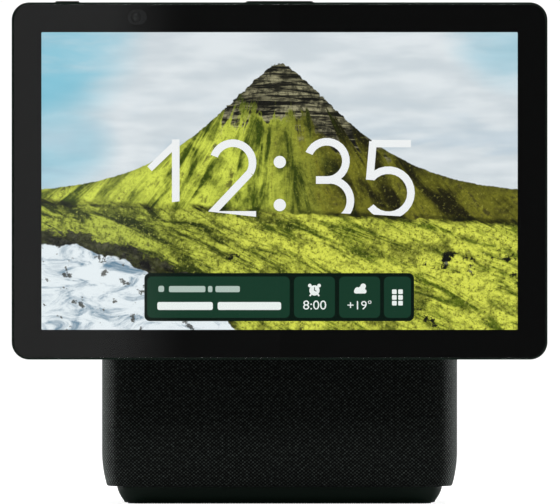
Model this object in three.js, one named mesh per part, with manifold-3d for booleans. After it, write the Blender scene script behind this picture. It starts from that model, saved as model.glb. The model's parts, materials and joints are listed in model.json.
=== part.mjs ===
// A smart display: a touch screen that tilts on a friction hinge, carried by a fabric-covered speaker base.
// Millimetres. X runs to the viewer's right, Y to the back and Z up. The origin is on the table, under the
// middle of the whole body. The screen faces -Y.
import * as THREE from "three";
import { mergeVertices } from "three/addons/utils/BufferGeometryUtils.js";
import Module from "manifold-3d";

const wasm = await Module();
wasm.setup();

// ---------------------------------------------------------------- driving dimensions
const GLUE = 0.05; // bond line between two faces that are fixed to each other
const FIT = 0.3; // gap round a part that is dropped into its place

// Screen head, seen from the front
const ACTIVE_WIDTH = 216.96; // lit area of a 10.1 inch panel, 16 by 10
const ACTIVE_HEIGHT = 135.6;
const PANEL_EDGE = 3; // dark edge of the panel outside its lit area
const CAMERA_HOUSING = 7.2; // height of the strip that holds camera, microphones and keys
const FRAME_WALL = 2.75; // side wall of the head's frame
const HEAD_CORNER = 8; // corner radius of the head
const RIM = 0.8; // plastic rim that shows round the glass
const HEAD_LIFT = 66.6; // lower edge of the head over the table

// Screen head, front to back
const GLASS_THICKNESS = 1.1;
const GLASS_PROUD = 0.25; // how far the glass stands in front of the rim
const BORDER_PRINT = 0.2; // black border behind the glass
const PANEL_THICKNESS = 3.2;
const CARRIER_PLATE = 1; // stiffening plate behind the panel
const BOARD_STANDOFF = 0.8;
const BOARD_THICKNESS = 1.6;
const HEAT_SPREADER = 1;
const HEAD_AIR = 1.5; // free space between the heat spreader and the hinge plate
const HINGE_PLATE = 1.6;
const COVER_WALL = 1.8; // wall of the head's rear cover
const FRAME_DEPTH = 8; // the frame reaches this far behind the glass face
const COVER_ROUND = 5; // rounding of the rear cover's edge

// Camera, its sliding shutter and the keys on the head's upper edge
const WINDOW_FROM_EDGE = 57.2; // middle of the camera window, from the head's left edge
const WINDOW_WIDTH = 8.7;
const WINDOW_HEIGHT = 7;
const LENS_OFFSET = 0.7; // the lens sits left of the window's middle
const LENS_RADIUS = 2.3;
const SHUTTER_THICKNESS = 0.5;
const SHUTTER_TRAVEL = 8;
const KNOB_FROM_EDGE = 25.3; // middle of the shutter's knob, from the head's left edge
const KNOB_LENGTH = 10.7;
const KEY_DEPTH = 3.2; // front-to-back width of knob and rocker
const KEY_PROUD = 0.7; // height of knob and rocker over the head's upper edge
const KEY_FROM_FRONT = 3.3; // from the glass face to the front of knob and rocker
const KEY_GAP = 0.25; // gap round knob and rocker in the frame
const ROCKER_LENGTH = 30.5;
const ROCKER_BAR = 2.2; // height of the rocker's bar
const ROCKER_TILT = 2; // degrees each way
const SWITCH_FROM_PIVOT = 11;
const MICROPHONE_BOARD = 16; // length of each microphone board

// Speaker base
const BASE_WIDTH = 163.4;
const BASE_DEPTH = 102;
const BASE_FRONT_CORNER = 18;
const BASE_BACK_CORNER = 30;
const FABRIC_BOTTOM = 7.8; // underside of the fabric over the table
const FABRIC_OVER_HINGE = 17; // from the hinge axis up to the fabric's upper edge
const FABRIC = 1; // thickness of the stretched fabric
const TUCK = 6.5; // the fabric is folded in to this inset under the body
const HEM_ROUND = 0.9; // rounding of the fabric's lower edge
const BODY_CURVE_TOP = 24; // the body is straight above this height
const BODY_CURVE = 56; // radius of the inward curve below it
const CAP_HEIGHT = 5; // rounded top cap above the fabric
const CAP_WALL = 2;
const GRILLE_WALL = 2;
const CHASSIS = 3; // floor plate inside the fabric's hem
const CHASSIS_GAP = 1.3; // from the fabric's hem to the chassis
const FOOT_GAP = 0.45; // from the folded fabric to the foot's upper edge
const FOOT_SLOPE = 3.1; // how much further in the foot's lower edge is
const FOOT_ROUND = 0.9;
const FOOT_LIFT = 0.4; // the rubber holds the foot this high over the table
const RUBBER_HEIGHT = 1.4;
const RUBBER_WIDTH = 7;
const RUBBER_INSET = 12;

// Speaker enclosure and its drivers
const FLANGE = 2; // thickness of a driver's mounting flange
const SPEAKER_CLEARANCE = 0.9; // from the drivers' flanges to the grille
const ENCLOSURE_CORNER = 2; // least corner radius of the enclosure
const ENCLOSURE_WALL = 2.5;
const OVER_SOCKET = 3; // from the power socket up to the enclosure
const POST_RADIUS = 4; // posts that carry the enclosure and the boards
const BAFFLE_DEPTH = 10; // depth of the enclosure's front half
const UNDER_DRIVERS = 6; // from the enclosure's underside up to the flanges of the front drivers
const UNDER_WOOFER = 4; // the same for the woofer
const OVER_WOOFER = 10; // from the woofer's flange up to the enclosure's top
const OVER_ENCLOSURE = 5.5; // from the enclosure's top up to the hinge's recess

// Speaker drivers: radii of flange, wall, dust cap, magnet and coil, and the depths of rim and basket
const WOOFER = {
  flange: 39,
  wall: 34,
  rim: 11,
  depth: 30,
  roll: 3.5,
  rest: 6,
  cap: 12,
  magnet: 24,
  coil: 9,
  sides: 24,
};
const FRONT_DRIVER = {
  flange: 22,
  wall: 18.5,
  rim: 8,
  depth: 16,
  roll: 2,
  rest: 4.5,
  cap: 6.5,
  magnet: 13,
  coil: 5,
  sides: 16,
};
const RADIATOR = { seat: 4, rim: 9, roll: 3, rest: 7, sides: 20 };
const RADIATOR_EDGE = 1; // from a radiator's flange to where the side wall starts to curve
const BASKET_WALL = 1.5;
const CONE_GAP = 0.4;
const CONE_THICKNESS = 0.8;
const MAGNET_HEIGHT = 12;
const COIL_WALL = 0.5;
const COIL_GAP = 0.6;

// Tilt hinge
const HEAD_GAP = 10; // from the head's back to the base's front, where the hinge axis lies
const PIN_RADIUS = 3;
const PIN_CLEARANCE = 0.1;
const BARREL_WALL = 3.5;
const BARREL_LENGTH = 44;
const EAR_WALL = 4.5;
const EAR_THICKNESS = 6;
const WASHER = 0.5;
const SIDE_PLAY = 0.05; // play between the faces stacked along the pin
const PIN_HEAD = 1.5;
const PIN_NUT = 4;
const PIN_END = 1;
const CUP_WALL = 1.4; // liner of the recess that the hinge works in
const CUP_DEPTH = 10;
const CUP_CLEARANCE = 3.6; // from the ears to the liner
const YOKE_PLATE = 3;
const YOKE_FOOT = 26; // front-to-back length of the yoke's foot

// Power socket
const SOCKET_RADIUS = 8;
const SOCKET_FLOOR = 2; // thickness behind the bore
const SOCKET_MOUTH = 6.2; // radius of the recess that takes the plug's grip
const SOCKET_MOUTH_DEPTH = 6;
const SOCKET_BORE = 3.1;
const SOCKET_BORE_DEPTH = 9;
const SOCKET_PIN = 1;
const UNDER_POWER_BOARD = 3.25;

// Fasteners
const BOARD_MARGIN = 32; // from the base's side to the amplifier board and the foot's screws
const UNDER_AMPLIFIER = 9; // from the enclosure's top up to the amplifier board
const AMPLIFIER_FROM_YOKE = 6;
const AMPLIFIER_FROM_BACK = 22;
const POWER_BOARD_FROM_BACK = 30; // to the board's middle
const POWER_BOARD_HALF = 35; // half its width
const POWER_BOARD_REACH = 18; // half its front-to-back length
const POWER_POST_X = 28;
const CHASSIS_POST_MARGIN = 20; // from the base's side to the enclosure's posts
const SINK_HALF = 26; // half width of the amplifier's heat sink
const SINK_MARGIN = 8; // from the board's edge to the heat sink
const FINS = 7;
const FIN_PITCH = 8;
const FIN_HALF = 0.9; // half a fin's thickness
const FIN_HEIGHT = 12;
const BRACKET_HALF_WIDTH = 27; // plate of the tilt bracket
const BRACKET_HALF_HEIGHT = 17;
const BRACKET_SCREW_X = 22;
const BRACKET_SCREW_Z = 12;
const MAIN_BOARD_HALF_WIDTH = 58;
const MAIN_BOARD_HALF_HEIGHT = 34;
const SPREADER_HALF_WIDTH = 30;
const SPREADER_UP = 16; // from the head's middle up to the heat spreader's upper edge
const CARRIER_POST_X = 50;
const CARRIER_POST_Z = 27;
const CARRIER_POST_RADIUS = 3;
const SLOT_HEIGHT = 7; // sound slots of the grille
const SLOT_PITCH = 20;
const LOWEST_SLOT = 34;
const FRONT_SLOT = 96;
const SIDE_SLOT = 44;
const SLOT_TO_HINGE = 8;
const SCREW_RADIUS = 1.5;
const SCREW_HEAD_RADIUS = 2.8;
const SCREW_HEAD = 1.6;
const BELOW_CHASSIS_TOP = 1.5; // the foot screws end this far under the chassis' upper face
const DRIVE_WELL = 3; // depth of the foot's wells for its screws' heads

// ---------------------------------------------------------------- sizes that follow
const BORDER = PANEL_EDGE + FIT + CAMERA_HOUSING + FIT + FRAME_WALL;
const headWidth = ACTIVE_WIDTH + 2 * BORDER;
const headHeight = ACTIVE_HEIGHT + 2 * BORDER;
const headTop = HEAD_LIFT + headHeight;
const headMiddle = HEAD_LIFT + headHeight / 2;

const glassBack = GLASS_THICKNESS;
const borderFront = glassBack + GLUE;
const panelFront = borderFront + BORDER_PRINT + GLUE;
const carrierFront = panelFront + PANEL_THICKNESS + GLUE;
const boardFront = carrierFront + CARRIER_PLATE + BOARD_STANDOFF;
const spreaderFront = boardFront + BOARD_THICKNESS + GLUE;
const hingePlateFront = spreaderFront + HEAT_SPREADER + HEAD_AIR;
const coverInside = hingePlateFront + HINGE_PLATE + GLUE;
const headThickness = coverInside + COVER_WALL;

const totalDepth = headThickness + HEAD_GAP + BASE_DEPTH;
const frontY = -totalDepth / 2; // the glass face
const baseFrontY = frontY + headThickness + HEAD_GAP;
const baseBackY = baseFrontY + BASE_DEPTH;
const baseMiddleY = (baseFrontY + baseBackY) / 2;
const hingeY = baseFrontY;

const stripTop = headTop - FRAME_WALL - FIT; // upper edge of the strip above the panel
const stripBottom = stripTop - CAMERA_HOUSING;
const stripMiddle = (stripTop + stripBottom) / 2;
const windowX = -headWidth / 2 + WINDOW_FROM_EDGE;
const lensX = windowX - LENS_OFFSET;
const knobX = -headWidth / 2 + KNOB_FROM_EDGE;
const microphoneX = (ROCKER_LENGTH / 2 - windowX - WINDOW_WIDTH / 2) / 2;
const shutterFront = panelFront;
const trimFront = shutterFront + SHUTTER_THICKNESS + GLUE;

const barrelRadius = PIN_RADIUS + BARREL_WALL;
const earRadius = PIN_RADIUS + EAR_WALL;
const earInner = BARREL_LENGTH / 2 + WASHER + 2 * SIDE_PLAY;
const earOuter = earInner + EAR_THICKNESS;
const cupHalfWidth = earOuter + SIDE_PLAY + PIN_NUT + PIN_END + 2;
const cupHalfHeight = earRadius + CUP_CLEARANCE;
const cupBackY = hingeY + CUP_DEPTH;

const footInset = TUCK + FOOT_GAP;
const chassisBottom = FABRIC_BOTTOM + FABRIC + GLUE;
const chassisTop = chassisBottom + CHASSIS;
const powerBoardZ = chassisTop + UNDER_POWER_BOARD;
const socketZ = powerBoardZ + BOARD_THICKNESS + FIT + SOCKET_RADIUS;
const enclosureFloor = socketZ + SOCKET_RADIUS + OVER_SOCKET;
const driverZ = enclosureFloor + UNDER_DRIVERS + FRONT_DRIVER.flange;
const wooferZ = enclosureFloor + UNDER_WOOFER + WOOFER.flange;
const enclosureTop = wooferZ + WOOFER.flange + OVER_WOOFER;
const hingeZ = enclosureTop + OVER_ENCLOSURE + CUP_WALL + cupHalfHeight;
const fabricTop = hingeZ + FABRIC_OVER_HINGE;
const enclosureInset = FABRIC + GLUE + GRILLE_WALL + SPEAKER_CLEARANCE + FLANGE + GLUE;
const enclosureFrontY = baseFrontY + enclosureInset;
const enclosureBackY = baseBackY - enclosureInset;
const partingY = enclosureFrontY + BAFFLE_DEPTH;
const enclosureHalfWidth = BASE_WIDTH / 2 - enclosureInset;
const sideStartY = baseFrontY + BASE_FRONT_CORNER;
const sideEndY = baseBackY - BASE_BACK_CORNER;
const radiatorY = (sideStartY + sideEndY) / 2;
const radiatorFlange = (sideEndY - sideStartY) / 2 - RADIATOR_EDGE;

const amplifierZ = enclosureTop + UNDER_AMPLIFIER;
const amplifierHalf = BASE_WIDTH / 2 - BOARD_MARGIN;
const amplifierFrontY = cupBackY + FIT + YOKE_PLATE + AMPLIFIER_FROM_YOKE;
const amplifierBackY = baseBackY - AMPLIFIER_FROM_BACK;
const yokeBackY = cupBackY + FIT + YOKE_FOOT;
const powerBoardY = baseBackY - POWER_BOARD_FROM_BACK;

// ---------------------------------------------------------------- materials
const paint = (color, roughness, metalness = 0) =>
  new THREE.MeshStandardMaterial({ color, roughness, metalness });
const CLEAR_GLASS = paint(0x9fb0aa, 0.05);
const BLACK_INK = paint(0x0b0b0b, 0.3);
const LIT_PANEL = paint(0x6f7f3a, 0.4);
const GREEN_PLASTIC = paint(0x17261e, 0.5);
const BLACK_PLASTIC = paint(0x121413, 0.6);
const GREY_PLASTIC = paint(0x3a3c3d, 0.5);
const FABRIC_CLOTH = paint(0x161b1a, 0.95);
const RUBBER = paint(0x0d0d0d, 0.9);
const STEEL = paint(0x8c8f92, 0.35, 1);
const ALUMINIUM = paint(0xb4b7ba, 0.4, 1);
const CIRCUIT_BOARD = paint(0x10402a, 0.5);
const CONE_PAPER = paint(0x1c1c1e, 0.8);
const FERRITE = paint(0x26262a, 0.6);
const LENS_GLASS = paint(0x101820, 0.05);

// ---------------------------------------------------------------- solids
const object = new THREE.Group();

// A closed geometry as a manifold-3d solid, turned right side out if its profile ran the other way.
function solidOf(geometry) {
  const bare = geometry.clone();
  bare.deleteAttribute("normal");
  bare.deleteAttribute("uv");
  const merged = mergeVertices(bare, 1e-4);
  const position = merged.getAttribute("position");
  const index = Uint32Array.from(merged.index.array);
  const corner = (k) => new THREE.Vector3().fromBufferAttribute(position, index[k]);
  let volume = 0;
  for (let k = 0; k < index.length; k += 3) {
    volume += corner(k).dot(corner(k + 1).cross(corner(k + 2)));
  }
  if (volume < 0) index.reverse();
  const mesh = { numProp: 3, vertProperties: position.array, triVerts: index };
  return new wasm.Manifold(new wasm.Mesh(mesh));
}

// A manifold-3d solid as a geometry with flat faces.
function geometryOf(solid) {
  const mesh = solid.getMesh();
  const geometry = new THREE.BufferGeometry();
  geometry.setAttribute("position", new THREE.BufferAttribute(mesh.vertProperties, 3));
  geometry.setIndex(new THREE.BufferAttribute(mesh.triVerts, 1));
  const flat = geometry.toNonIndexed();
  flat.computeVertexNormals();
  return flat;
}

// Adds one sub-part to the object, from a geometry or a solid.
function add(name, shape, material) {
  const solid = shape.isBufferGeometry ? solidOf(shape) : shape;
  const mesh = new THREE.Mesh(geometryOf(solid), material);
  mesh.name = name;
  object.add(mesh);
  return solid;
}

const cut = (body, ...tools) => tools.reduce((left, tool) => left.subtract(tool), body);
const join = (body, ...others) => others.reduce((sum, other) => sum.add(other), body);

// A box between two corners.
function block([x0, y0, z0], [x1, y1, z1]) {
  const geometry = new THREE.BoxGeometry(x1 - x0, y1 - y0, z1 - z0);
  return solidOf(geometry.translate((x0 + x1) / 2, (y0 + y1) / 2, (z0 + z1) / 2));
}

// A rod of the given radius from one point along an axis, "x", "y" or "z".
function rod(radius, axis, [x, y, z], length, sides = 24) {
  const geometry = new THREE.CylinderGeometry(radius, radius, length, sides);
  if (axis === "x") geometry.rotateZ(-Math.PI / 2).translate(x + length / 2, y, z);
  if (axis === "y") geometry.translate(x, y + length / 2, z);
  if (axis === "z") geometry.rotateX(Math.PI / 2).translate(x, y, z + length / 2);
  return solidOf(geometry);
}

// A rectangle with rounded corners, centred on the origin.
function roundedRectangle(width, height, radius) {
  const [a, b, r] = [width / 2, height / 2, Math.min(radius, width / 2, height / 2)];
  const shape = new THREE.Shape();
  shape.absarc(a - r, b - r, r, 0, Math.PI / 2);
  shape.absarc(r - a, b - r, r, Math.PI / 2, Math.PI);
  shape.absarc(r - a, r - b, r, Math.PI, 1.5 * Math.PI);
  shape.absarc(a - r, r - b, r, 1.5 * Math.PI, 2 * Math.PI);
  return shape;
}

// A plate that faces the viewer: its outline is drawn in X and Z, and it reaches from one depth to another.
function facingPlate(shape, [x, z], fromY, toY, curveSegments = 6) {
  const options = { depth: toY - fromY, bevelEnabled: false, curveSegments };
  const geometry = new THREE.ExtrudeGeometry(shape, options);
  return solidOf(geometry.rotateX(Math.PI / 2).translate(x, toY, z));
}

// A bar whose outline is drawn in Y and Z, from one X to another.
function sidePlate(points, fromX, toX) {
  const shape = new THREE.Shape(points.map(([y, z]) => new THREE.Vector2(y, z)));
  const options = { depth: toX - fromX, bevelEnabled: false };
  const geometry = new THREE.ExtrudeGeometry(shape, options);
  return solidOf(geometry.rotateX(Math.PI / 2).rotateZ(Math.PI / 2).translate(fromX, 0, 0));
}

// Points on a circular arc, from one angle to another in degrees.
function arc([cx, cy], radius, from, to, steps) {
  return Array.from({ length: steps + 1 }, (_, k) => {
    const angle = THREE.MathUtils.degToRad(from + ((to - from) * k) / steps);
    return [cx + radius * Math.cos(angle), cy + radius * Math.sin(angle)];
  });
}

// A convex outline with four rounded corners that can be drawn at any inset: a function from inset to points.
function outline(halfWidth, nearY, farY, nearCorner, farCorner, least = 1, steps = 5) {
  return (inset) => {
    const near = Math.max(nearCorner - inset, least);
    const far = Math.max(farCorner - inset, least);
    const x = halfWidth - inset;
    return [
      ...arc([x - near, nearY + inset + near], near, -90, 0, steps),
      ...arc([x - far, farY - inset - far], far, 0, 90, steps),
      ...arc([far - x, farY - inset - far], far, 90, 180, steps),
      ...arc([near - x, nearY + inset + near], near, 180, 270, steps),
    ];
  };
}

// Skins a pile of outlines, given as [inset, height] from one end to the other. A closed pile makes a band.
function skin(plan, pile, closed) {
  const rings = pile.map(([inset, z]) => plan(inset).map(([x, y]) => [x, y, z]));
  const count = rings[0].length;
  const at = (ring, k) => rings[ring % rings.length][k % count];
  const triangles = [];
  const last = closed ? rings.length : rings.length - 1;
  for (let ring = 0; ring < last; ring++) {
    for (let k = 0; k < count; k++) {
      triangles.push(at(ring, k), at(ring, k + 1), at(ring + 1, k + 1));
      triangles.push(at(ring, k), at(ring + 1, k + 1), at(ring + 1, k));
    }
  }
  if (!closed) {
    for (let k = 1; k < count - 1; k++) {
      triangles.push(at(0, 0), at(0, k + 1), at(0, k));
      triangles.push(at(rings.length - 1, 0), at(rings.length - 1, k), at(rings.length - 1, k + 1));
    }
  }
  const geometry = new THREE.BufferGeometry();
  geometry.setAttribute("position", new THREE.Float32BufferAttribute(triangles.flat(), 3));
  return geometry;
}

// A turned part. The profile is [radius, height] points; it starts and ends on the axis or closes on itself.
function turned(profile, sides = 24) {
  const points = profile.map(([r, z]) => new THREE.Vector2(r, z));
  if (profile[0][0] > 0) points.push(points[0].clone());
  return new THREE.LatheGeometry(points, sides).rotateX(Math.PI / 2);
}

// ---------------------------------------------------------------- base body
const basePlan = outline(BASE_WIDTH / 2, baseFrontY, baseBackY, BASE_FRONT_CORNER, BASE_BACK_CORNER);

// How far the body's face lies inside its widest outline at a height.
function bodyInset(z) {
  const below = Math.max(0, BODY_CURVE_TOP - z);
  return BODY_CURVE - Math.sqrt(BODY_CURVE ** 2 - below ** 2);
}

// The body's face, moved in by a depth, from one height up to another.
function bodyFace(depth, fromZ, toZ) {
  const steps = Math.ceil((BODY_CURVE_TOP - fromZ) / 3.9);
  const curve = Array.from({ length: steps }, (_, k) => fromZ + ((BODY_CURVE_TOP - fromZ) * k) / steps);
  const heights = fromZ < BODY_CURVE_TOP ? [...curve, BODY_CURVE_TOP, toZ] : [fromZ, toZ];
  return heights.map((z) => [bodyInset(z) + depth, z]);
}

// A rectangular hole through the front of the body, for the hinge.
const hingeWindow = (gap) =>
  facingPlate(
    roundedRectangle(2 * (cupHalfWidth + CUP_WALL + gap), 2 * (cupHalfHeight + CUP_WALL + gap), 4),
    [0, hingeZ],
    baseFrontY - 1,
    cupBackY + 1,
    3,
  );

const socketHole = (gap, fromY) =>
  rod(SOCKET_RADIUS + gap, "y", [0, fromY, socketZ], baseBackY + 1 - fromY, 20);
const socketLength = SOCKET_MOUTH_DEPTH + SOCKET_BORE_DEPTH + SOCKET_FLOOR;
const socketFaceY = baseBackY - 0.2;

function addFabric() {
  const hem = bodyInset(FABRIC_BOTTOM + HEM_ROUND);
  const profile = [
    ...bodyFace(0, FABRIC_BOTTOM + HEM_ROUND, fabricTop),
    ...bodyFace(FABRIC, FABRIC_BOTTOM + FABRIC + HEM_ROUND, fabricTop).reverse(),
    [hem + FABRIC + HEM_ROUND, FABRIC_BOTTOM + FABRIC],
    [TUCK, FABRIC_BOTTOM + FABRIC],
    [TUCK, FABRIC_BOTTOM],
    [hem + HEM_ROUND, FABRIC_BOTTOM],
    [hem + 0.3 * HEM_ROUND, FABRIC_BOTTOM + 0.3 * HEM_ROUND],
  ];
  const sleeve = solidOf(skin(basePlan, profile, true));
  add("fabric_sleeve", cut(sleeve, hingeWindow(0), socketHole(0, baseMiddleY)), FABRIC_CLOTH);
}

// The stiff shell under the fabric, with rows of sound slots in front, at the back and at both sides.
function addGrille() {
  const outer = FABRIC + GLUE;
  const bottom = chassisTop + GLUE;
  const profile = [
    ...bodyFace(outer, bottom, fabricTop),
    ...bodyFace(outer + GRILLE_WALL, bottom, fabricTop).reverse(),
  ];
  const slots = [];
  const half = FRONT_SLOT / 2;
  for (let z = LOWEST_SLOT; z + SLOT_HEIGHT < hingeZ - cupHalfHeight - SLOT_TO_HINGE; z += SLOT_PITCH) {
    const top = z + SLOT_HEIGHT;
    slots.push(block([-half, baseFrontY - 1, z], [half, baseFrontY + 5, top]));
    slots.push(block([-half, baseBackY - 5, z], [half, baseBackY + 1, top]));
    const side = BASE_WIDTH / 2 + 1;
    slots.push(block([-side, radiatorY - SIDE_SLOT / 2, z], [side, radiatorY + SIDE_SLOT / 2, top]));
  }
  const shell = solidOf(skin(basePlan, profile, true));
  const holes = [hingeWindow(GLUE), socketHole(GLUE, baseMiddleY), ...slots];
  add("grille_shell", cut(shell, ...holes), BLACK_PLASTIC);
}

function addTopCap() {
  const bottom = fabricTop + GLUE;
  const dome = (inset, height, steps) =>
    Array.from({ length: steps + 1 }, (_, k) => {
      const angle = (k / steps) * (Math.PI / 2);
      return [inset + CAP_HEIGHT * (1 - Math.cos(angle)), bottom + height * Math.sin(angle)];
    });
  const outer = solidOf(skin(basePlan, [...dome(0, CAP_HEIGHT, 5)], false));
  const inside = [[CAP_WALL, bottom - 1], ...dome(CAP_WALL, CAP_HEIGHT - CAP_WALL, 3)];
  add("top_cap", cut(outer, solidOf(skin(basePlan, inside, false))), GREEN_PLASTIC);
}

// Four places for screws, set in from the foot's corners.
const footScrews = [-1, 1].flatMap((sx) =>
  [-1, 1].map((sy) => [
    sx * (BASE_WIDTH / 2 - BOARD_MARGIN),
    baseMiddleY + sy * (BASE_DEPTH / 2 - BOARD_MARGIN),
  ]),
);

function addFoot() {
  const inset = bodyInset(chassisBottom) + FABRIC + HEM_ROUND + CHASSIS_GAP;
  const plate = skin(basePlan, [[inset, chassisBottom], [inset, chassisTop]], false);
  const screwHoles = footScrews.map(([x, y]) => rod(SCREW_RADIUS + FIT, "z", [x, y, -1], chassisTop, 12));
  const driveHoles = footScrews.map(([x, y]) =>
    rod(SCREW_HEAD_RADIUS + FIT, "z", [x, y, -1], 1 + FOOT_LIFT + DRIVE_WELL, 12),
  );
  const blindHoles = footScrews.map(([x, y]) =>
    rod(SCREW_RADIUS + FIT, "z", [x, y, chassisBottom - 1], CHASSIS - BELOW_CHASSIS_TOP + 1 + FIT, 12),
  );
  const postX = BASE_WIDTH / 2 - CHASSIS_POST_MARGIN;
  const postHeight = enclosureFloor - GLUE - chassisTop + 1;
  const posts = [-1, 1].flatMap((side) =>
    [enclosureFrontY + 16, enclosureBackY - 34].map((y) =>
      rod(POST_RADIUS, "z", [side * postX, y, chassisTop - 1], postHeight, 12),
    ),
  );
  const boardPostHeight = powerBoardZ - GLUE - chassisTop + 1;
  const boardPosts = [-1, 1].map((side) =>
    rod(POST_RADIUS, "z", [side * POWER_POST_X, powerBoardY, chassisTop - 1], boardPostHeight, 12),
  );
  const chassis = join(solidOf(plate), ...posts, ...boardPosts);
  add("base_chassis", cut(chassis, ...blindHoles), BLACK_PLASTIC);

  const side = Array.from({ length: 5 }, (_, k) => {
    const drop = k / 4;
    const bottom = FOOT_LIFT + FOOT_ROUND;
    const bulge = 0.4 * drop + 0.6 * drop ** 2;
    return [footInset + FOOT_SLOPE * bulge, FABRIC_BOTTOM - GLUE - drop * (FABRIC_BOTTOM - GLUE - bottom)];
  });
  const pile = [
    [footInset + FOOT_SLOPE + FOOT_ROUND, FOOT_LIFT],
    [footInset + FOOT_SLOPE + 0.3 * FOOT_ROUND, FOOT_LIFT + 0.3 * FOOT_ROUND],
    ...side.reverse(),
    [footInset, chassisBottom - GLUE],
  ];
  const groove = (gap) => [
    [RUBBER_INSET - gap, FOOT_LIFT - 1],
    [RUBBER_INSET + RUBBER_WIDTH + gap, FOOT_LIFT - 1],
    [RUBBER_INSET + RUBBER_WIDTH + gap, RUBBER_HEIGHT + gap],
    [RUBBER_INSET - gap, RUBBER_HEIGHT + gap],
  ];
  const foot = solidOf(skin(basePlan, pile, false));
  const grooveTool = solidOf(skin(basePlan, groove(0.1), true));
  add("foot_base", cut(foot, grooveTool, ...screwHoles, ...driveHoles), GREEN_PLASTIC);
  const rubber = [
    [RUBBER_INSET, 0],
    [RUBBER_INSET + RUBBER_WIDTH, 0],
    [RUBBER_INSET + RUBBER_WIDTH, RUBBER_HEIGHT],
    [RUBBER_INSET, RUBBER_HEIGHT],
  ];
  add("rubber_foot", skin(basePlan, rubber, true), RUBBER);
  footScrews.forEach(([x, y], k) => {
    const seat = FOOT_LIFT + DRIVE_WELL - GLUE;
    addScrew(`foot_screw_${k + 1}`, [x, y, seat], "up", chassisTop - BELOW_CHASSIS_TOP - seat);
  });
}

// A pan-head screw whose head's inner face is at a point. It points up, down or to the front.
function addScrew(name, [x, y, z], direction, length) {
  const drive = 0.9;
  const profile = [
    [0, length],
    [SCREW_RADIUS, length],
    [SCREW_RADIUS, 0],
    [SCREW_HEAD_RADIUS, 0],
    [SCREW_HEAD_RADIUS, -0.6 * SCREW_HEAD],
    [0.6 * SCREW_HEAD_RADIUS, -SCREW_HEAD],
    [0.4 * SCREW_HEAD_RADIUS, -SCREW_HEAD],
    [0, -SCREW_HEAD + drive],
  ];
  const geometry = turned(profile, 8);
  if (direction === "down") geometry.rotateX(Math.PI);
  if (direction === "front") geometry.rotateX(Math.PI / 2);
  add(name, geometry.translate(x, y, z), STEEL);
}

// ---------------------------------------------------------------- speakers
// A driver or passive radiator is drawn with its flange's face at height 0, sounding towards +Z.

// The basket of a driver: a flange, a short wall, then a cone down to the magnet.
function basket({ flange, wall, rim, depth, coil, sides }) {
  const profile = [
    [flange, 0],
    [flange, -FLANGE],
    [wall, -FLANGE],
    [wall, -rim],
    [coil + 8, -depth],
    [coil + COIL_GAP + COIL_WALL, -depth],
    [coil + COIL_GAP + COIL_WALL, -depth + BASKET_WALL],
    [coil + 7, -depth + BASKET_WALL],
    [wall - BASKET_WALL, -rim + 0.5],
    [wall - BASKET_WALL, 0],
  ];
  return turned(profile, sides);
}

// A pot magnet with the ring-shaped gap that the coil moves in.
function potMagnet({ depth, magnet, coil, sides }) {
  const top = -depth - GLUE;
  const bottom = top - MAGNET_HEIGHT;
  const profile = [
    [0, bottom],
    [magnet, bottom],
    [magnet, top],
    [coil + COIL_GAP + COIL_WALL, top],
    [coil + COIL_GAP + COIL_WALL, bottom + 3],
    [coil - COIL_GAP, bottom + 3],
    [coil - COIL_GAP, top],
    [0, top],
  ];
  return turned(profile, sides);
}

// Cone, half-roll surround, dust cap and coil former, which move as one.
function cone({ wall, depth, roll, rest, cap, coil, sides }) {
  const edge = wall - BASKET_WALL - CONE_GAP;
  const inner = edge - 2 * roll - 1;
  const neck = -depth + BASKET_WALL + 5.5;
  const surround = arc([edge - roll, -rest], roll, 0, 180, 5);
  const under = arc([edge - roll, -rest], roll - CONE_THICKNESS, 180, 0, 5);
  const profile = [
    [0, neck + 4.5],
    [cap * 0.6, neck + 4],
    [cap, neck + 2.6],
    [inner, -rest],
    ...surround.slice().reverse(),
    [edge, -rest - CONE_THICKNESS],
    [edge - CONE_THICKNESS, -rest - CONE_THICKNESS],
    ...under.slice(1, -1).reverse(),
    [edge - 2 * roll + CONE_THICKNESS, -rest - CONE_THICKNESS],
    [inner, -rest - CONE_THICKNESS],
    [coil + COIL_WALL, neck],
    [coil + COIL_WALL, -depth - 4],
    [coil, -depth - 4],
    [coil, neck + 1],
    [0, neck + 3],
  ];
  return turned(profile, sides);
}

// The frame of a passive radiator.
function radiatorFrame({ seat, rim, sides }) {
  const flange = radiatorFlange;
  const wall = flange - seat;
  const profile = [
    [flange, 0],
    [flange, -FLANGE],
    [wall, -FLANGE],
    [wall, -rim],
    [wall - BASKET_WALL, -rim],
    [wall - BASKET_WALL, 0],
  ];
  return turned(profile, sides);
}

// The weighted plate of a passive radiator, with its half-roll surround.
function radiatorPlate({ seat, roll, rest, sides }) {
  const edge = radiatorFlange - seat - BASKET_WALL - CONE_GAP;
  const plate = edge - 2 * roll - 0.1;
  const surround = arc([edge - roll, -rest], roll, 180, 0, 5);
  const under = arc([edge - roll, -rest], roll - CONE_THICKNESS, 0, 180, 5);
  const profile = [
    [0, -rest + 1],
    [plate, -rest + 1],
    [plate, -rest],
    ...surround,
    [edge, -rest - CONE_THICKNESS],
    ...under.slice(1, -1),
    [plate, -rest - CONE_THICKNESS],
    [plate - 2, -rest - 3],
    [0, -rest - 3],
  ];
  return turned(profile, sides);
}

// Turns a driver drawn along +Z to sound to the front, the back or a side, with its seat on the enclosure.
function seated(geometry, facing, [x, y, z]) {
  const placed = geometry.clone().translate(0, 0, FLANGE + GLUE);
  if (facing === "front") placed.rotateX(Math.PI / 2);
  if (facing === "back") placed.rotateX(-Math.PI / 2);
  if (facing === "left") placed.rotateY(-Math.PI / 2);
  if (facing === "right") placed.rotateY(Math.PI / 2);
  return placed.translate(x, y, z);
}

const driverX = enclosureHalfWidth - (BASE_FRONT_CORNER - enclosureInset) - FRONT_DRIVER.flange - 4;

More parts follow.
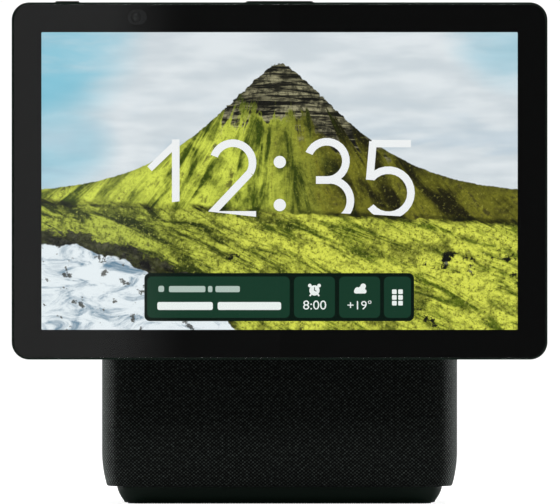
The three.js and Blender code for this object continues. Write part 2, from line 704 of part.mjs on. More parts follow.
function addEnclosure() {
  const plan = outline(
    enclosureHalfWidth,
    enclosureFrontY,
    enclosureBackY,
    BASE_FRONT_CORNER - enclosureInset,
    BASE_BACK_CORNER - enclosureInset,
    ENCLOSURE_CORNER,
    4,
  );
  const outer = skin(plan, [[0, enclosureFloor], [0, enclosureTop]], false);
  const hollow = skin(
    plan,
    [
      [ENCLOSURE_WALL, enclosureFloor + ENCLOSURE_WALL],
      [ENCLOSURE_WALL, enclosureTop - ENCLOSURE_WALL],
    ],
    false,
  );
  const holes = [
    rod(WOOFER.wall + FIT, "y", [0, enclosureBackY - 10, wooferZ], 20),
    rod(FRONT_DRIVER.wall + FIT, "y", [-driverX, enclosureFrontY - 10, driverZ], 20),
    rod(FRONT_DRIVER.wall + FIT, "y", [driverX, enclosureFrontY - 10, driverZ], 20),
    rod(radiatorFlange - RADIATOR.seat + FIT, "x", [-BASE_WIDTH, radiatorY, wooferZ], 2 * BASE_WIDTH),
  ];
  const shell = cut(solidOf(outer).subtract(solidOf(hollow)), ...holes);
  const far = 2 * BASE_WIDTH;
  const frontHalf = block([-far, -far, -far], [far, partingY - GLUE, far]);
  const backHalf = block([-far, partingY + GLUE, -far], [far, far, far]);
  const postHeight = amplifierZ - GLUE - enclosureTop + 1;
  const posts = [-1, 1].flatMap((side) =>
    [yokeBackY + POST_RADIUS + 1, amplifierBackY - 6].map((y) =>
      rod(POST_RADIUS, "z", [side * (amplifierHalf - 6), y, enclosureTop - 1], postHeight, 12),
    ),
  );
  add("enclosure_front", shell.intersect(frontHalf), BLACK_PLASTIC);
  add("enclosure_back", join(shell.intersect(backHalf), ...posts), BLACK_PLASTIC);
}

function addDrivers() {
  const wooferSeat = [0, enclosureBackY, wooferZ];
  add("woofer_basket", seated(basket(WOOFER), "back", wooferSeat), BLACK_PLASTIC);
  add("woofer_magnet", seated(potMagnet(WOOFER), "back", wooferSeat), FERRITE);
  add("woofer_cone", seated(cone(WOOFER), "back", wooferSeat), CONE_PAPER);
  [["left", -1], ["right", 1]].forEach(([side, sign]) => {
    const seat = [sign * driverX, enclosureFrontY, driverZ];
    add(`driver_${side}_basket`, seated(basket(FRONT_DRIVER), "front", seat), BLACK_PLASTIC);
    add(`driver_${side}_magnet`, seated(potMagnet(FRONT_DRIVER), "front", seat), FERRITE);
    add(`driver_${side}_cone`, seated(cone(FRONT_DRIVER), "front", seat), CONE_PAPER);
    const radiatorSeat = [sign * enclosureHalfWidth, radiatorY, wooferZ];
    add(`radiator_${side}_frame`, seated(radiatorFrame(RADIATOR), side, radiatorSeat), BLACK_PLASTIC);
    add(`radiator_${side}_plate`, seated(radiatorPlate(RADIATOR), side, radiatorSeat), CONE_PAPER);
  });
}

// ---------------------------------------------------------------- electronics of the base
function addBaseElectronics() {
  const boardTop = amplifierZ + BOARD_THICKNESS;
  const boardCorner = [-amplifierHalf, amplifierFrontY, amplifierZ];
  const board = block(boardCorner, [amplifierHalf, amplifierBackY, boardTop]);
  add("amplifier_board", board, CIRCUIT_BOARD);
  const [sinkFrontY, sinkBackY] = [amplifierFrontY + SINK_MARGIN, amplifierBackY - SINK_MARGIN];
  const finBase = block([-SINK_HALF, sinkFrontY, boardTop + GLUE], [SINK_HALF, sinkBackY, boardTop + 3]);
  const fins = Array.from({ length: FINS }, (_, k) => {
    const x = (k - (FINS - 1) / 2) * FIN_PITCH;
    return block([x - FIN_HALF, sinkFrontY, boardTop + 2], [x + FIN_HALF, sinkBackY, boardTop + FIN_HEIGHT]);
  });
  add("amplifier_heatsink", join(finBase, ...fins), ALUMINIUM);

  const body = rod(SOCKET_RADIUS - 0.2, "y", [0, socketFaceY - socketLength, socketZ], socketLength, 20);
  const mouthY = socketFaceY - SOCKET_MOUTH_DEPTH;
  const mouth = rod(SOCKET_MOUTH, "y", [0, mouthY, socketZ], SOCKET_MOUTH_DEPTH + 1, 20);
  const boreY = mouthY - SOCKET_BORE_DEPTH;
  const bore = rod(SOCKET_BORE, "y", [0, boreY, socketZ], SOCKET_BORE_DEPTH + 1, 20);
  const pin = rod(SOCKET_PIN, "y", [0, boreY - 1, socketZ], SOCKET_BORE_DEPTH, 12);
  add("power_socket", join(cut(body, mouth, bore), pin), BLACK_PLASTIC);
  const powerBoard = block(
    [-POWER_BOARD_HALF, powerBoardY - POWER_BOARD_REACH, powerBoardZ],
    [POWER_BOARD_HALF, powerBoardY + POWER_BOARD_REACH, powerBoardZ + BOARD_THICKNESS],
  );
  add("power_board", powerBoard, CIRCUIT_BOARD);
}

// ---------------------------------------------------------------- tilt hinge
function addHinge() {
  // Liner of the recess, with a slot for each ear.
  const [linerHalfWidth, linerHalfHeight] = [cupHalfWidth + CUP_WALL - FIT, cupHalfHeight + CUP_WALL - FIT];
  const cupOuter = roundedRectangle(2 * linerHalfWidth, 2 * linerHalfHeight, 4);
  const cupInner = roundedRectangle(2 * (cupHalfWidth - FIT), 2 * (cupHalfHeight - FIT), 3);
  const middle = [0, hingeZ];
  const liner = facingPlate(cupOuter, middle, baseFrontY + 0.2, cupBackY, 3);
  const hollow = facingPlate(cupInner, middle, baseFrontY - 1, cupBackY - CUP_WALL, 3);
  const earSlots = [-1, 1].map((sign) => {
    const [x0, x1] = [sign * (earInner - FIT), sign * (earOuter + FIT)].sort((a, b) => a - b);
    const half = earRadius + FIT;
    return block([x0, hingeY, hingeZ - half], [x1, cupBackY + 1, hingeZ + half]);
  });
  add("hinge_recess_liner", cut(liner, hollow, ...earSlots), BLACK_PLASTIC);

  // Yoke: an upright plate with two ears, on a foot that is screwed to the enclosure.
  const plateY = cupBackY + FIT;
  const footZ = enclosureTop + GLUE;
  const half = cupHalfWidth;
  const upright = block([-half, plateY, footZ], [half, plateY + YOKE_PLATE, hingeZ + earRadius + 1]);
  const foot = block([-half, plateY, footZ], [half, yokeBackY, footZ + YOKE_PLATE]);
  const earOutline = [
    [plateY + 1, hingeZ - earRadius],
    [plateY + 1, hingeZ + earRadius],
    ...arc([hingeY, hingeZ], earRadius, 90, 270, 12),
  ];
  const ears = [-1, 1].map((sign) => {
    const [x0, x1] = [sign * earInner, sign * earOuter].sort((a, b) => a - b);
    return sidePlate(earOutline, x0, x1);
  });
  const pinHole = rod(PIN_RADIUS + PIN_CLEARANCE, "x", [-half, hingeY, hingeZ], 2 * half, 24);
  const yokeScrews = [-1, 1].map((sign) => [sign * (half - 8), plateY + 18]);
  const screwHoles = yokeScrews.map(([x, y]) => rod(SCREW_RADIUS + FIT, "z", [x, y, footZ - 1], 6, 12));
  const yoke = cut(join(upright, foot, ...ears), pinHole, ...screwHoles);
  add("hinge_yoke", yoke, ALUMINIUM);
  yokeScrews.forEach(([x, y], k) => {
    addScrew(`yoke_screw_${k + 1}`, [x, y, footZ + YOKE_PLATE + GLUE], "down", YOKE_PLATE - 0.2);
  });

  // Pin with its head at the left, two friction washers and a nut at the right.
  const outer = earOuter + SIDE_PLAY;
  const shankLength = 2 * outer + 0.5 + PIN_NUT + PIN_END;
  const shank = rod(PIN_RADIUS, "x", [-outer - 0.5, hingeY, hingeZ], shankLength, 24);
  const head = rod(PIN_RADIUS + 2, "x", [-outer - PIN_HEAD, hingeY, hingeZ], PIN_HEAD, 24);
  add("hinge_pin", join(shank, head), STEEL);
  const nut = rod(PIN_RADIUS + 2.5, "x", [outer, hingeY, hingeZ], PIN_NUT, 6);
  const nutHole = rod(PIN_RADIUS + PIN_CLEARANCE, "x", [outer - 1, hingeY, hingeZ], PIN_NUT + 2, 24);
  add("hinge_nut", cut(nut, nutHole), STEEL);
  [["left", -1], ["right", 1]].forEach(([side, sign]) => {
    const inner = BARREL_LENGTH / 2 + SIDE_PLAY;
    const start = Math.min(sign * inner, sign * (inner + WASHER));
    const disc = rod(earRadius - 1, "x", [start, hingeY, hingeZ], WASHER, 24);
    const hole = rod(PIN_RADIUS + PIN_CLEARANCE, "x", [start - 1, hingeY, hingeZ], WASHER + 2, 24);
    add(`friction_washer_${side}`, cut(disc, hole), STEEL);
  });

  // Bracket of the head: a plate inside the rear cover, a neck through it and the barrel on the pin.
  const plateFrontY = frontY + hingePlateFront;
  const plate = block(
    [-BRACKET_HALF_WIDTH, plateFrontY, hingeZ - BRACKET_HALF_HEIGHT],
    [BRACKET_HALF_WIDTH, plateFrontY + HINGE_PLATE, hingeZ + BRACKET_HALF_HEIGHT],
  );
  const neckHalf = BARREL_LENGTH / 2;
  const neck = block(
    [-neckHalf, plateFrontY + 1, hingeZ - barrelRadius],
    [neckHalf, hingeY, hingeZ + barrelRadius],
  );
  const barrel = rod(barrelRadius, "x", [-neckHalf, hingeY, hingeZ], BARREL_LENGTH, 32);
  const bore = rod(PIN_RADIUS + PIN_CLEARANCE, "x", [-neckHalf - 1, hingeY, hingeZ], BARREL_LENGTH + 2, 24);
  const bracketHoles = bracketScrews.map(([x, z]) =>
    rod(SCREW_RADIUS + FIT, "y", [x, plateFrontY - 1, z], HINGE_PLATE + 2, 12),
  );
  add("tilt_bracket", cut(join(plate, neck, barrel), bore, ...bracketHoles), ALUMINIUM);
}

const bracketScrews = [-1, 1].map((side) => [side * BRACKET_SCREW_X, hingeZ + side * BRACKET_SCREW_Z]);

// ---------------------------------------------------------------- screen head
const headPlan = outline(headWidth / 2, -headHeight / 2, headHeight / 2, HEAD_CORNER, HEAD_CORNER);

// Stands a pile of head outlines on its edge. Its height becomes the depth behind the glass face.
const standing = (geometry) => solidOf(geometry.rotateX(-Math.PI / 2).translate(0, frontY, headMiddle));

const headPlate = (inset, corner, from, to) =>
  facingPlate(
    roundedRectangle(headWidth - 2 * inset, headHeight - 2 * inset, corner),
    [0, headMiddle],
    frontY + from,
    frontY + to,
  );

function addFrontStack() {
  add("cover_glass", headPlate(RIM, HEAD_CORNER - RIM, 0, glassBack), CLEAR_GLASS);

  const border = headPlate(RIM + FIT, HEAD_CORNER - RIM - FIT, borderFront, borderFront + BORDER_PRINT);
  const view = facingPlate(
    roundedRectangle(ACTIVE_WIDTH, ACTIVE_HEIGHT, 0.4),
    [0, headMiddle],
    frontY,
    frontY + panelFront,
    2,
  );
  const cameraWindow = facingPlate(
    roundedRectangle(WINDOW_WIDTH, WINDOW_HEIGHT, WINDOW_HEIGHT / 2),
    [windowX, stripMiddle],
    frontY,
    frontY + panelFront,
  );
  add("glass_border", cut(border, view, cameraWindow), BLACK_INK);

  const panelInset = BORDER - PANEL_EDGE;
  const panelBack = panelFront + PANEL_THICKNESS;
  add("display_panel", headPlate(panelInset, 1, panelFront, panelBack), LIT_PANEL);
  const carrier = headPlate(panelInset, 1, carrierFront, carrierFront + CARRIER_PLATE);
  const carrierBackY = frontY + carrierFront + CARRIER_PLATE;
  const posts = [-1, 1].flatMap((sx) =>
    [-1, 1].map((sz) =>
      rod(
        CARRIER_POST_RADIUS,
        "y",
        [sx * CARRIER_POST_X, carrierBackY - 0.5, headMiddle + sz * CARRIER_POST_Z],
        BOARD_STANDOFF + 0.5 - GLUE,
        10,
      ),
    ),
  );
  add("display_carrier_plate", join(carrier, ...posts), ALUMINIUM);
}

// The frame: a ring with a seat for the glass and openings for the keys and microphones in its upper edge.
function addFrame() {
  const ring = headPlate(0, HEAD_CORNER, GLASS_PROUD, FRAME_DEPTH);
  const seat = headPlate(RIM - GLUE, HEAD_CORNER - RIM, -1, borderFront + BORDER_PRINT + GLUE);
  const opening = headPlate(FRAME_WALL, HEAD_CORNER - FRAME_WALL, 0, FRAME_DEPTH + 1);
  const [y0, y1] = [frontY + KEY_FROM_FRONT, frontY + KEY_FROM_FRONT + KEY_DEPTH];
  const slot = (x0, x1) =>
    block([x0 - KEY_GAP, y0 - KEY_GAP, stripTop - 1], [x1 + KEY_GAP, y1 + KEY_GAP, headTop + 1]);
  const knobSlot = slot(knobX - KNOB_LENGTH / 2, knobX + KNOB_LENGTH / 2 + SHUTTER_TRAVEL);
  const rockerSlot = slot(-ROCKER_LENGTH / 2, ROCKER_LENGTH / 2);
  const microphones = [-1, 1].map((sign) =>
    rod(0.6, "z", [sign * microphoneX, (y0 + y1) / 2, stripTop - 1], FRAME_WALL + 3, 8),
  );
  add("head_frame", cut(ring, seat, opening, knobSlot, rockerSlot, ...microphones), GREEN_PLASTIC);
}

function addRearCover() {
  const start = FRAME_DEPTH + GLUE;
  const shell = (inset, from, back, round, steps) => [
    [inset, from],
    ...Array.from({ length: steps + 1 }, (_, k) => {
      const angle = (k / steps) * (Math.PI / 2);
      return [inset + round * (1 - Math.cos(angle)), back - round * (1 - Math.sin(angle))];
    }),
  ];
  const outer = standing(skin(headPlan, shell(0, start, headThickness, COVER_ROUND, 5), false));
  const hollow = shell(COVER_WALL, start - 1, coverInside, COVER_ROUND - COVER_WALL, 4);
  const inner = standing(skin(headPlan, hollow, false));
  const neckGap = block(
    [-BARREL_LENGTH / 2 - FIT, frontY + start, hingeZ - barrelRadius - FIT],
    [BARREL_LENGTH / 2 + FIT, frontY + headThickness + 1, hingeZ + barrelRadius + FIT],
  );
  add("head_rear_cover", cut(outer, inner, neckGap), GREEN_PLASTIC);
  bracketScrews.forEach(([x, z], k) => {
    const seatY = frontY + hingePlateFront - GLUE;
    addScrewBack(`bracket_screw_${k + 1}`, [x, seatY, z], HINGE_PLATE);
  });
}

// A flat-headed screw that points to the back, with its head's inner face at a point.
function addScrewBack(name, [x, y, z], length) {
  const head = rod(SCREW_HEAD_RADIUS, "y", [x, y - 0.9, z], 0.9, 10);
  const shank = rod(SCREW_RADIUS, "y", [x, y - 0.1, z], length + 0.1, 10);
  add(name, join(head, shank), STEEL);
}

function addHeadElectronics() {
  const [y0, y1] = [frontY + boardFront, frontY + boardFront + BOARD_THICKNESS];
  const low = headMiddle - MAIN_BOARD_HALF_HEIGHT;
  const high = headMiddle + MAIN_BOARD_HALF_HEIGHT;
  const mainBoard = block([-MAIN_BOARD_HALF_WIDTH, y0, low], [MAIN_BOARD_HALF_WIDTH, y1, high]);
  add("main_board", mainBoard, CIRCUIT_BOARD);
  const spreaderY = frontY + spreaderFront;
  const spreader = block(
    [-SPREADER_HALF_WIDTH, spreaderY, headMiddle - SPREADER_HALF_WIDTH],
    [SPREADER_HALF_WIDTH, spreaderY + HEAT_SPREADER, headMiddle + SPREADER_UP],
  );
  add("heat_spreader", spreader, ALUMINIUM);
  [["left", -1], ["right", 1]].forEach(([side, sign]) => {
    const low = sign * microphoneX - MICROPHONE_BOARD / 2;
    const boardY = frontY + KEY_FROM_FRONT;
    const top = headTop - FRAME_WALL - GLUE;
    const plate = block([low, boardY, top - 1], [low + MICROPHONE_BOARD, boardY + KEY_DEPTH, top]);
    add(`microphone_board_${side}`, plate, CIRCUIT_BOARD);
  });
}

// Camera: a trim plate behind the window, the housing and the lens in it.
function addCamera() {
  const trimWidth = WINDOW_WIDTH + 1.6;
  const trimY = frontY + trimFront;
  const lensHole = rod(LENS_RADIUS + 0.2, "y", [lensX, trimY - 1, stripMiddle], 3, 24);
  const trim = facingPlate(
    roundedRectangle(trimWidth, CAMERA_HOUSING, CAMERA_HOUSING / 2),
    [windowX, stripMiddle],
    trimY,
    trimY + 0.5,
  );
  add("camera_trim", cut(trim, lensHole), GREY_PLASTIC);
  const housingY = trimY + 0.5 + GLUE;
  const housing = facingPlate(
    roundedRectangle(trimWidth, CAMERA_HOUSING, 1),
    [windowX, stripMiddle],
    housingY,
    housingY + 4.4,
    2,
  );
  const barrelHole = rod(LENS_RADIUS + 0.2, "y", [lensX, housingY - 1, stripMiddle], 3.5, 24);
  add("camera_housing", cut(housing, barrelHole), BLACK_PLASTIC);
  const lens = turned(
    [
      [0, 0],
      [LENS_RADIUS, 0],
      [LENS_RADIUS, 1.8],
      [0.75 * LENS_RADIUS, 2],
      [0.5 * LENS_RADIUS, 2.25],
      [0.25 * LENS_RADIUS, 2.4],
      [0, 2.45],
    ],
    24,
  );
  add("camera_lens", lens.rotateX(Math.PI / 2).translate(lensX, housingY + 2.45, stripMiddle), LENS_GLASS);
}

// Shutter: a thin blade between glass and camera, and the knob that slides it from the head's upper edge.
function addShutter() {
  const bladeY = frontY + shutterFront;
  const low = stripMiddle - 3.1;
  const high = stripMiddle + 3.1;
  const end = windowX - WINDOW_WIDTH / 2 - 0.25;
  const blade = block([knobX - KNOB_LENGTH / 2, bladeY, low], [end, bladeY + SHUTTER_THICKNESS, high]);
  add("shutter_blade", blade, BLACK_PLASTIC);
  const [y0, y1] = [frontY + KEY_FROM_FRONT, frontY + KEY_FROM_FRONT + KEY_DEPTH];
  const footY = bladeY + SHUTTER_THICKNESS + GLUE;
  const outlineOfKnob = [
    [footY, stripMiddle - 2],
    [y1, stripMiddle - 2],
    [y1, headTop + KEY_PROUD - 0.3],
    [y1 - 0.3, headTop + KEY_PROUD],
    [y0 + 0.3, headTop + KEY_PROUD],
    [y0, headTop + KEY_PROUD - 0.3],
    [y0, high],
    [footY, high],
  ];
  const knob = sidePlate(outlineOfKnob, knobX - KNOB_LENGTH / 2, knobX + KNOB_LENGTH / 2);
  add("shutter_knob", knob, BLACK_PLASTIC);
}

// Volume rocker on its pivot, with a bracket that carries the pivot and a key switch under each end.
function addRocker() {
  const [y0, y1] = [frontY + KEY_FROM_FRONT, frontY + KEY_FROM_FRONT + KEY_DEPTH];
  const top = headTop + KEY_PROUD;
  const barBottom = top - ROCKER_BAR;
  const pivotRadius = 0.8;
  const lugRadius = pivotRadius + 1;
  const pivotZ = stripTop - lugRadius;
  const half = ROCKER_LENGTH / 2;
  const barShape = roundedRectangle(ROCKER_LENGTH, ROCKER_BAR, 0.6);
  const bar = facingPlate(barShape, [0, top - ROCKER_BAR / 2], y0, y1, 2);
  const lug = rod(lugRadius, "y", [0, y0, pivotZ], KEY_DEPTH, 16);
  const lugNeck = block([-lugRadius, y0, pivotZ], [lugRadius, y1, barBottom + 0.3]);
  const bore = rod(pivotRadius + 0.1, "y", [0, y0 - 1, pivotZ], KEY_DEPTH + 2, 20);
  add("volume_rocker", cut(join(bar, lug, lugNeck), bore), BLACK_PLASTIC);
  add("rocker_pivot", rod(pivotRadius, "y", [0, y0 - 0.75, pivotZ], KEY_DEPTH + 1.5, 16), STEEL);

  const earWall = 0.6;
  const bracketTop = stripBottom + 1.2;
  const floorCorner = [-half, y0 - 0.15 - earWall, stripBottom + 0.1];
  const floor = block(floorCorner, [half, y1 + 0.15 + earWall, bracketTop]);
  const ears = [y0 - 0.15 - earWall, y1 + 0.15].map((y) =>
    join(
      block([-lugRadius, y, stripBottom + 0.5], [lugRadius, y + earWall, pivotZ]),
      rod(lugRadius, "y", [0, y, pivotZ], earWall, 16),
    ),
  );
  const pivotHole = rod(pivotRadius + 0.05, "y", [0, y0 - 3, pivotZ], KEY_DEPTH + 6, 20);
  add("rocker_bracket", cut(join(floor, ...ears), pivotHole), STEEL);

  const dip = (SWITCH_FROM_PIVOT + 2.2) * Math.tan(THREE.MathUtils.degToRad(ROCKER_TILT));
  [["left", -1], ["right", 1]].forEach(([side, sign]) => {
    const x = sign * SWITCH_FROM_PIVOT;
    const body = block([x - 2, y0 + 0.1, bracketTop + GLUE], [x + 2, y1 - 0.1, barBottom - dip - 0.9]);
    const buttonHeight = barBottom - dip - 0.15 - bracketTop - 1;
    const button = rod(0.9, "z", [x, (y0 + y1) / 2, bracketTop + 1], buttonHeight, 12);
    add(`volume_switch_${side}`, join(body, button), STEEL);
  });
}

addFabric();
addGrille();
addTopCap();
addFoot();
addEnclosure();
addDrivers();
addBaseElectronics();
addHinge();
addFrontStack();
addFrame();
addRearCover();
addHeadElectronics();
addCamera();
addShutter();
addRocker();

export default object;
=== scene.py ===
"""Looks of a smart display: a tilting screen head on a fabric-covered speaker base."""

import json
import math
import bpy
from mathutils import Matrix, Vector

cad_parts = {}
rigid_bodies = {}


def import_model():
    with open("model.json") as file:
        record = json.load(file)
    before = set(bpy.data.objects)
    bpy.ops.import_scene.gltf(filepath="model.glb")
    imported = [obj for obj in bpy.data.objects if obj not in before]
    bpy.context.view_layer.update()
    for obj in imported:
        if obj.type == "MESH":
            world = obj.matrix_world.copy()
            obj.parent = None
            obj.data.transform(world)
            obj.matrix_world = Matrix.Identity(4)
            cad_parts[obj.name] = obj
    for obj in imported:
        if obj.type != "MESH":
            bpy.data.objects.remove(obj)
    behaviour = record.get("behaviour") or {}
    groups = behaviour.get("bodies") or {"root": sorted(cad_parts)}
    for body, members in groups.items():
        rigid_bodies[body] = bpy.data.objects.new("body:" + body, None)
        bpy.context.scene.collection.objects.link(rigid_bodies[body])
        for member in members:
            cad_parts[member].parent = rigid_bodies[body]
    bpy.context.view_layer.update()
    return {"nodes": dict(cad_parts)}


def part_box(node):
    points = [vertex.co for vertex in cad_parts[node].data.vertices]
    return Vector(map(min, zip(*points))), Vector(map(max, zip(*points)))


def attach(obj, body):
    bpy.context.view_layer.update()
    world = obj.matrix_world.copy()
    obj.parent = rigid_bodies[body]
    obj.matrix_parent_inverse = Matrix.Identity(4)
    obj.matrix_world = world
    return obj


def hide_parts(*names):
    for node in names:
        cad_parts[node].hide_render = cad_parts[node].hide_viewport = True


bl_info = {
    "name": "Smart display on a fabric base",
    "version": (1, 0, 0),
    "blender": (4, 5, 0),
    "location": "3D View > Sidebar > Smart display",
    "description": "Builds the cloth, plastic, glass and screen of a smart display",
    "category": "Add Mesh",
}

import bmesh
import bpy
from mathutils import Matrix, Vector

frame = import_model()

MM = 0.001
SLEEVE_LOW, SLEEVE_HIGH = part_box("fabric_sleeve")
FRAME_LOW, FRAME_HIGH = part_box("head_frame")
COVER_LOW, COVER_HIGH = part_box("head_rear_cover")
GLASS_LOW, GLASS_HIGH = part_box("cover_glass")
PANEL_LOW, PANEL_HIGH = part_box("display_panel")
CAP_LOW, CAP_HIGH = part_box("top_cap")
FOOT_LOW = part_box("foot_base")[0]
LINER_LOW, LINER_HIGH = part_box("hinge_recess_liner")
SOCKET_LOW, SOCKET_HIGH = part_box("power_socket")
KNOB_LOW, KNOB_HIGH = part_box("shutter_knob")
ROCKER_LOW, ROCKER_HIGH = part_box("volume_rocker")

PANEL_EDGE = 3 * MM  # dark edge of the panel outside its lit area
LIT_LOW = Vector((PANEL_LOW.x + PANEL_EDGE, 0, PANEL_LOW.z + PANEL_EDGE))
LIT_HIGH = Vector((PANEL_HIGH.x - PANEL_EDGE, 0, PANEL_HIGH.z - PANEL_EDGE))
HINGE_Z = (LINER_LOW.z + LINER_HIGH.z) / 2
SOCKET_Z = (SOCKET_LOW.z + SOCKET_HIGH.z) / 2


SPEAKERS = ["woofer", "driver_left", "driver_right"]
SIDES = ["left", "right"]
KEPT_NODES = {
    "Black plastic": [
        "grille_shell", "base_chassis", "enclosure_front", "enclosure_back",
        "camera_housing", "shutter_blade",
        *[f"radiator_{side}_frame" for side in SIDES],
    ],
    "Rubber": ["rubber_foot"],
    "Black ink": ["glass_border"],
    "Lit picture": ["display_panel"],
    "Coated lens": ["camera_lens"],
    "Cast metal": [f"{name}_basket" for name in SPEAKERS],
    "Ferrite": [f"{name}_magnet" for name in SPEAKERS],
    "Cone paper": [*[f"{name}_cone" for name in SPEAKERS], *[f"radiator_{side}_plate" for side in SIDES]],
    "Circuit board": [
        "amplifier_board", "power_board", "main_board", *[f"microphone_board_{side}" for side in SIDES],
    ],
    "Aluminium": ["amplifier_heatsink", "heat_spreader", "display_carrier_plate"],
    "Steel": [
        "hinge_pin", "hinge_nut", "rocker_pivot", "rocker_bracket",
        *[f"{part}_{side}" for part in ("friction_washer", "volume_switch") for side in SIDES],
        *[f"foot_screw_{k}" for k in (1, 2, 3, 4)],
        *[f"{part}_screw_{k}" for part in ("yoke", "bracket") for k in (1, 2)],
    ],
}
FITTINGS = [
    ("shutter_knob", "shutter", "black_plastic", "Black plastic", 0.25 * MM),
    ("volume_rocker", "rocker", "black_plastic", "Black plastic", 0.25 * MM),
    ("power_socket", "base", "black_plastic", "Black plastic", 0.3 * MM),
    ("hinge_recess_liner", "base", "black_plastic", "Black plastic", 0.3 * MM),
    ("tilt_bracket", "head", "dark_metal", "Cast metal", 0.3 * MM),
    ("hinge_yoke", "base", "dark_metal", "Cast metal", 0.3 * MM),
    ("camera_trim", "head", "grey_plastic", "Grey plastic", 0.1 * MM),
]
SOCKET_NAMES = {
    "colour": "Base Color",
    "rough": "Roughness",
    "metallic": "Metallic",
    "normal": "Normal",
    "specular": "Specular IOR Level",
    "coat": "Coat Weight",
    "sheen": "Sheen Weight",
    "sheen_rough": "Sheen Roughness",
    "sheen_tint": "Sheen Tint",
    "clear": "Transmission Weight",
    "ior": "IOR",
    "light": "Emission Color",
    "strength": "Emission Strength",
}
GREEN = "Green black plastic"
VERT, EDGE, FACE = bmesh.types.BMVert, bmesh.types.BMEdge, bmesh.types.BMFace
SLIGHT = 0.001 * MM
FIRST_LAYER = 0.02 * MM  # from the panel to the first layer of shapes on it
LAYER_STEP = 0.06 * MM
LAYER_BODY = 0.03 * MM
UNLIT = (0.002, 0.002, 0.002, 1.0)
WHITE = (1, 1, 1, 1)
ORIGIN = (0, 0, 0)
UPRIGHT = Matrix.Rotation(math.pi / 2, 3, "X")


# ---------------------------------------------------------------- settings
def length(name, description, default):
    """A length that the sidebar shows in scene units."""
    return bpy.props.FloatProperty(
        name=name, description=description, default=default, min=0.0, unit="LENGTH", precision=5
    )


def tint(name, description, red, green, blue):
    """A colour given in the usual 0 to 255 scale."""
    return bpy.props.FloatVectorProperty(
        name=name,
        description=description,
        default=paint(red, green, blue)[:3],
        subtype="COLOR",
        size=3,
        min=0.0,
        max=1.0,
    )


def amount(name, description, default, highest=1.0):
    """A plain factor."""
    return bpy.props.FloatProperty(
        name=name, description=description, default=default, min=0.0, max=highest, subtype="FACTOR"
    )


def paint(red, green, blue):
    """Linear colour of a screen colour in the usual 0 to 255 scale."""
    linear = []
    for value in (red, green, blue):
        share = value / 255
        linear.append(share / 12.92 if share <= 0.04045 else ((share + 0.055) / 1.055) ** 2.4)
    return (*linear, 1.0)


class FabricSettings(bpy.types.PropertyGroup):
    """Cloth sleeve of the base."""

    front_corner: length("Front corner", "Corner radius at the front of the base", 18 * MM)
    back_corner: length("Back corner", "Corner radius at the back of the base", 30 * MM)
    curve_top: length("Curve top", "Height below which the sleeve curves inwards", 24 * MM)
    curve_radius: length("Curve radius", "Radius of that curve", 56 * MM)
    hem_round: length("Hem round", "Rounding where the cloth turns under the body", 0.9 * MM)
    tuck: length("Tuck", "How far under the body the cloth reaches", 6.5 * MM)
    thickness: length("Thickness", "Thickness of the cloth", 0.8 * MM)
    repeat: length("Repeat", "Width of one repeat of the weave", 1.87 * MM)
    row: length("Row", "Distance between two rows of the weave", 0.81 * MM)
    yarn: tint("Yarn", "Colour of the yarn's crowns", 76, 84, 80)
    # Painted shade: the colour between the yarns stands in for the shade in the weave's hollows.
    shadow: tint("Shadow", "Colour between the yarns", 1, 3, 2)


class PlasticSettings(bpy.types.PropertyGroup):
    """Moulded plastic of head, foot and cap."""

    edge: length("Edge", "Rounding of the head's front rim", 0.35 * MM)
    back_round: length("Back round", "Rounding of the rear cover's edge", 5 * MM)
    wall: length("Wall", "Wall of the rear cover", 1.8 * MM)
    corner: length("Corner", "Corner radius of the head", 8 * MM)
    rim: length("Rim", "Width of the rim round the glass", 0.8 * MM)
    green: tint("Green black", "Colour of head, foot and cap", 18, 42, 30)
    black: tint("Black", "Colour of the inner mouldings", 14, 15, 15)
    roughness: amount("Roughness", "Roughness of the moulded finish", 0.42)


class ScreenSettings(bpy.types.PropertyGroup):
    """Picture and widgets on the screen."""

    brightness: amount("Brightness", "Brightness of the screen", 1.08, 4.0)
    glass_edge: length("Glass edge", "Softened edge of the cover glass", 0.22 * MM)
    stroke: length("Stroke", "Stroke of the clock's digits", 3.46 * MM)
    digits: tint("Digits", "Colour of the clock's digits", 240, 240, 242)
    tray: tint("Tray", "Colour behind the cards", 2, 20, 12)
    card: tint("Card", "Colour of the cards", 20, 56, 40)


class StageSettings(bpy.types.PropertyGroup):
    """Floor, lamps and camera."""

    distance: length("Camera distance", "From the camera to the glass", 4.0)
    view_width: length("View width", "Width of the view at the glass", 255.08 * MM)
    key: amount("Key", "Strength of the soft front light", 16.0, 200.0)
    rim: amount("Rim", "Strength of the strips behind the sides", 6.5, 200.0)
    card: amount("Card", "Radiance of the card that the glass mirrors", 0.22, 5.0)


# ---------------------------------------------------------------- shader sums
def tree_of(values):
    """The node tree that the first socket among these belongs to."""
    return next(v.id_data for v in values if isinstance(v, bpy.types.NodeSocket))


def feed(tree, socket, value):
    """Sets a socket to a value or links another socket to it."""
    if isinstance(value, bpy.types.NodeSocket):
        tree.links.new(value, socket)
    else:
        socket.default_value = value


def calc(operation, *values):
    """A Math node on sockets and numbers."""
    tree = tree_of(values)
    node = tree.nodes.new("ShaderNodeMath")
    node.operation = operation
    for socket, value in zip(node.inputs, values):
        feed(tree, socket, value)
    return node.outputs[0]


def times(first, second):
    """A product."""
    return calc("MULTIPLY", first, second)


def plus(first, second):
    """A sum."""
    return calc("ADD", first, second)


def minus(first, second):
    """A difference."""
    return calc("SUBTRACT", first, second)


def graded(value, factor, start):
    """Start plus a share of a value."""
    return calc("MULTIPLY_ADD", value, factor, start)


def waver(value, pattern, reach):
    """A value that a pattern moves up and down."""
    return graded(minus(pattern, 0.5), reach, value)


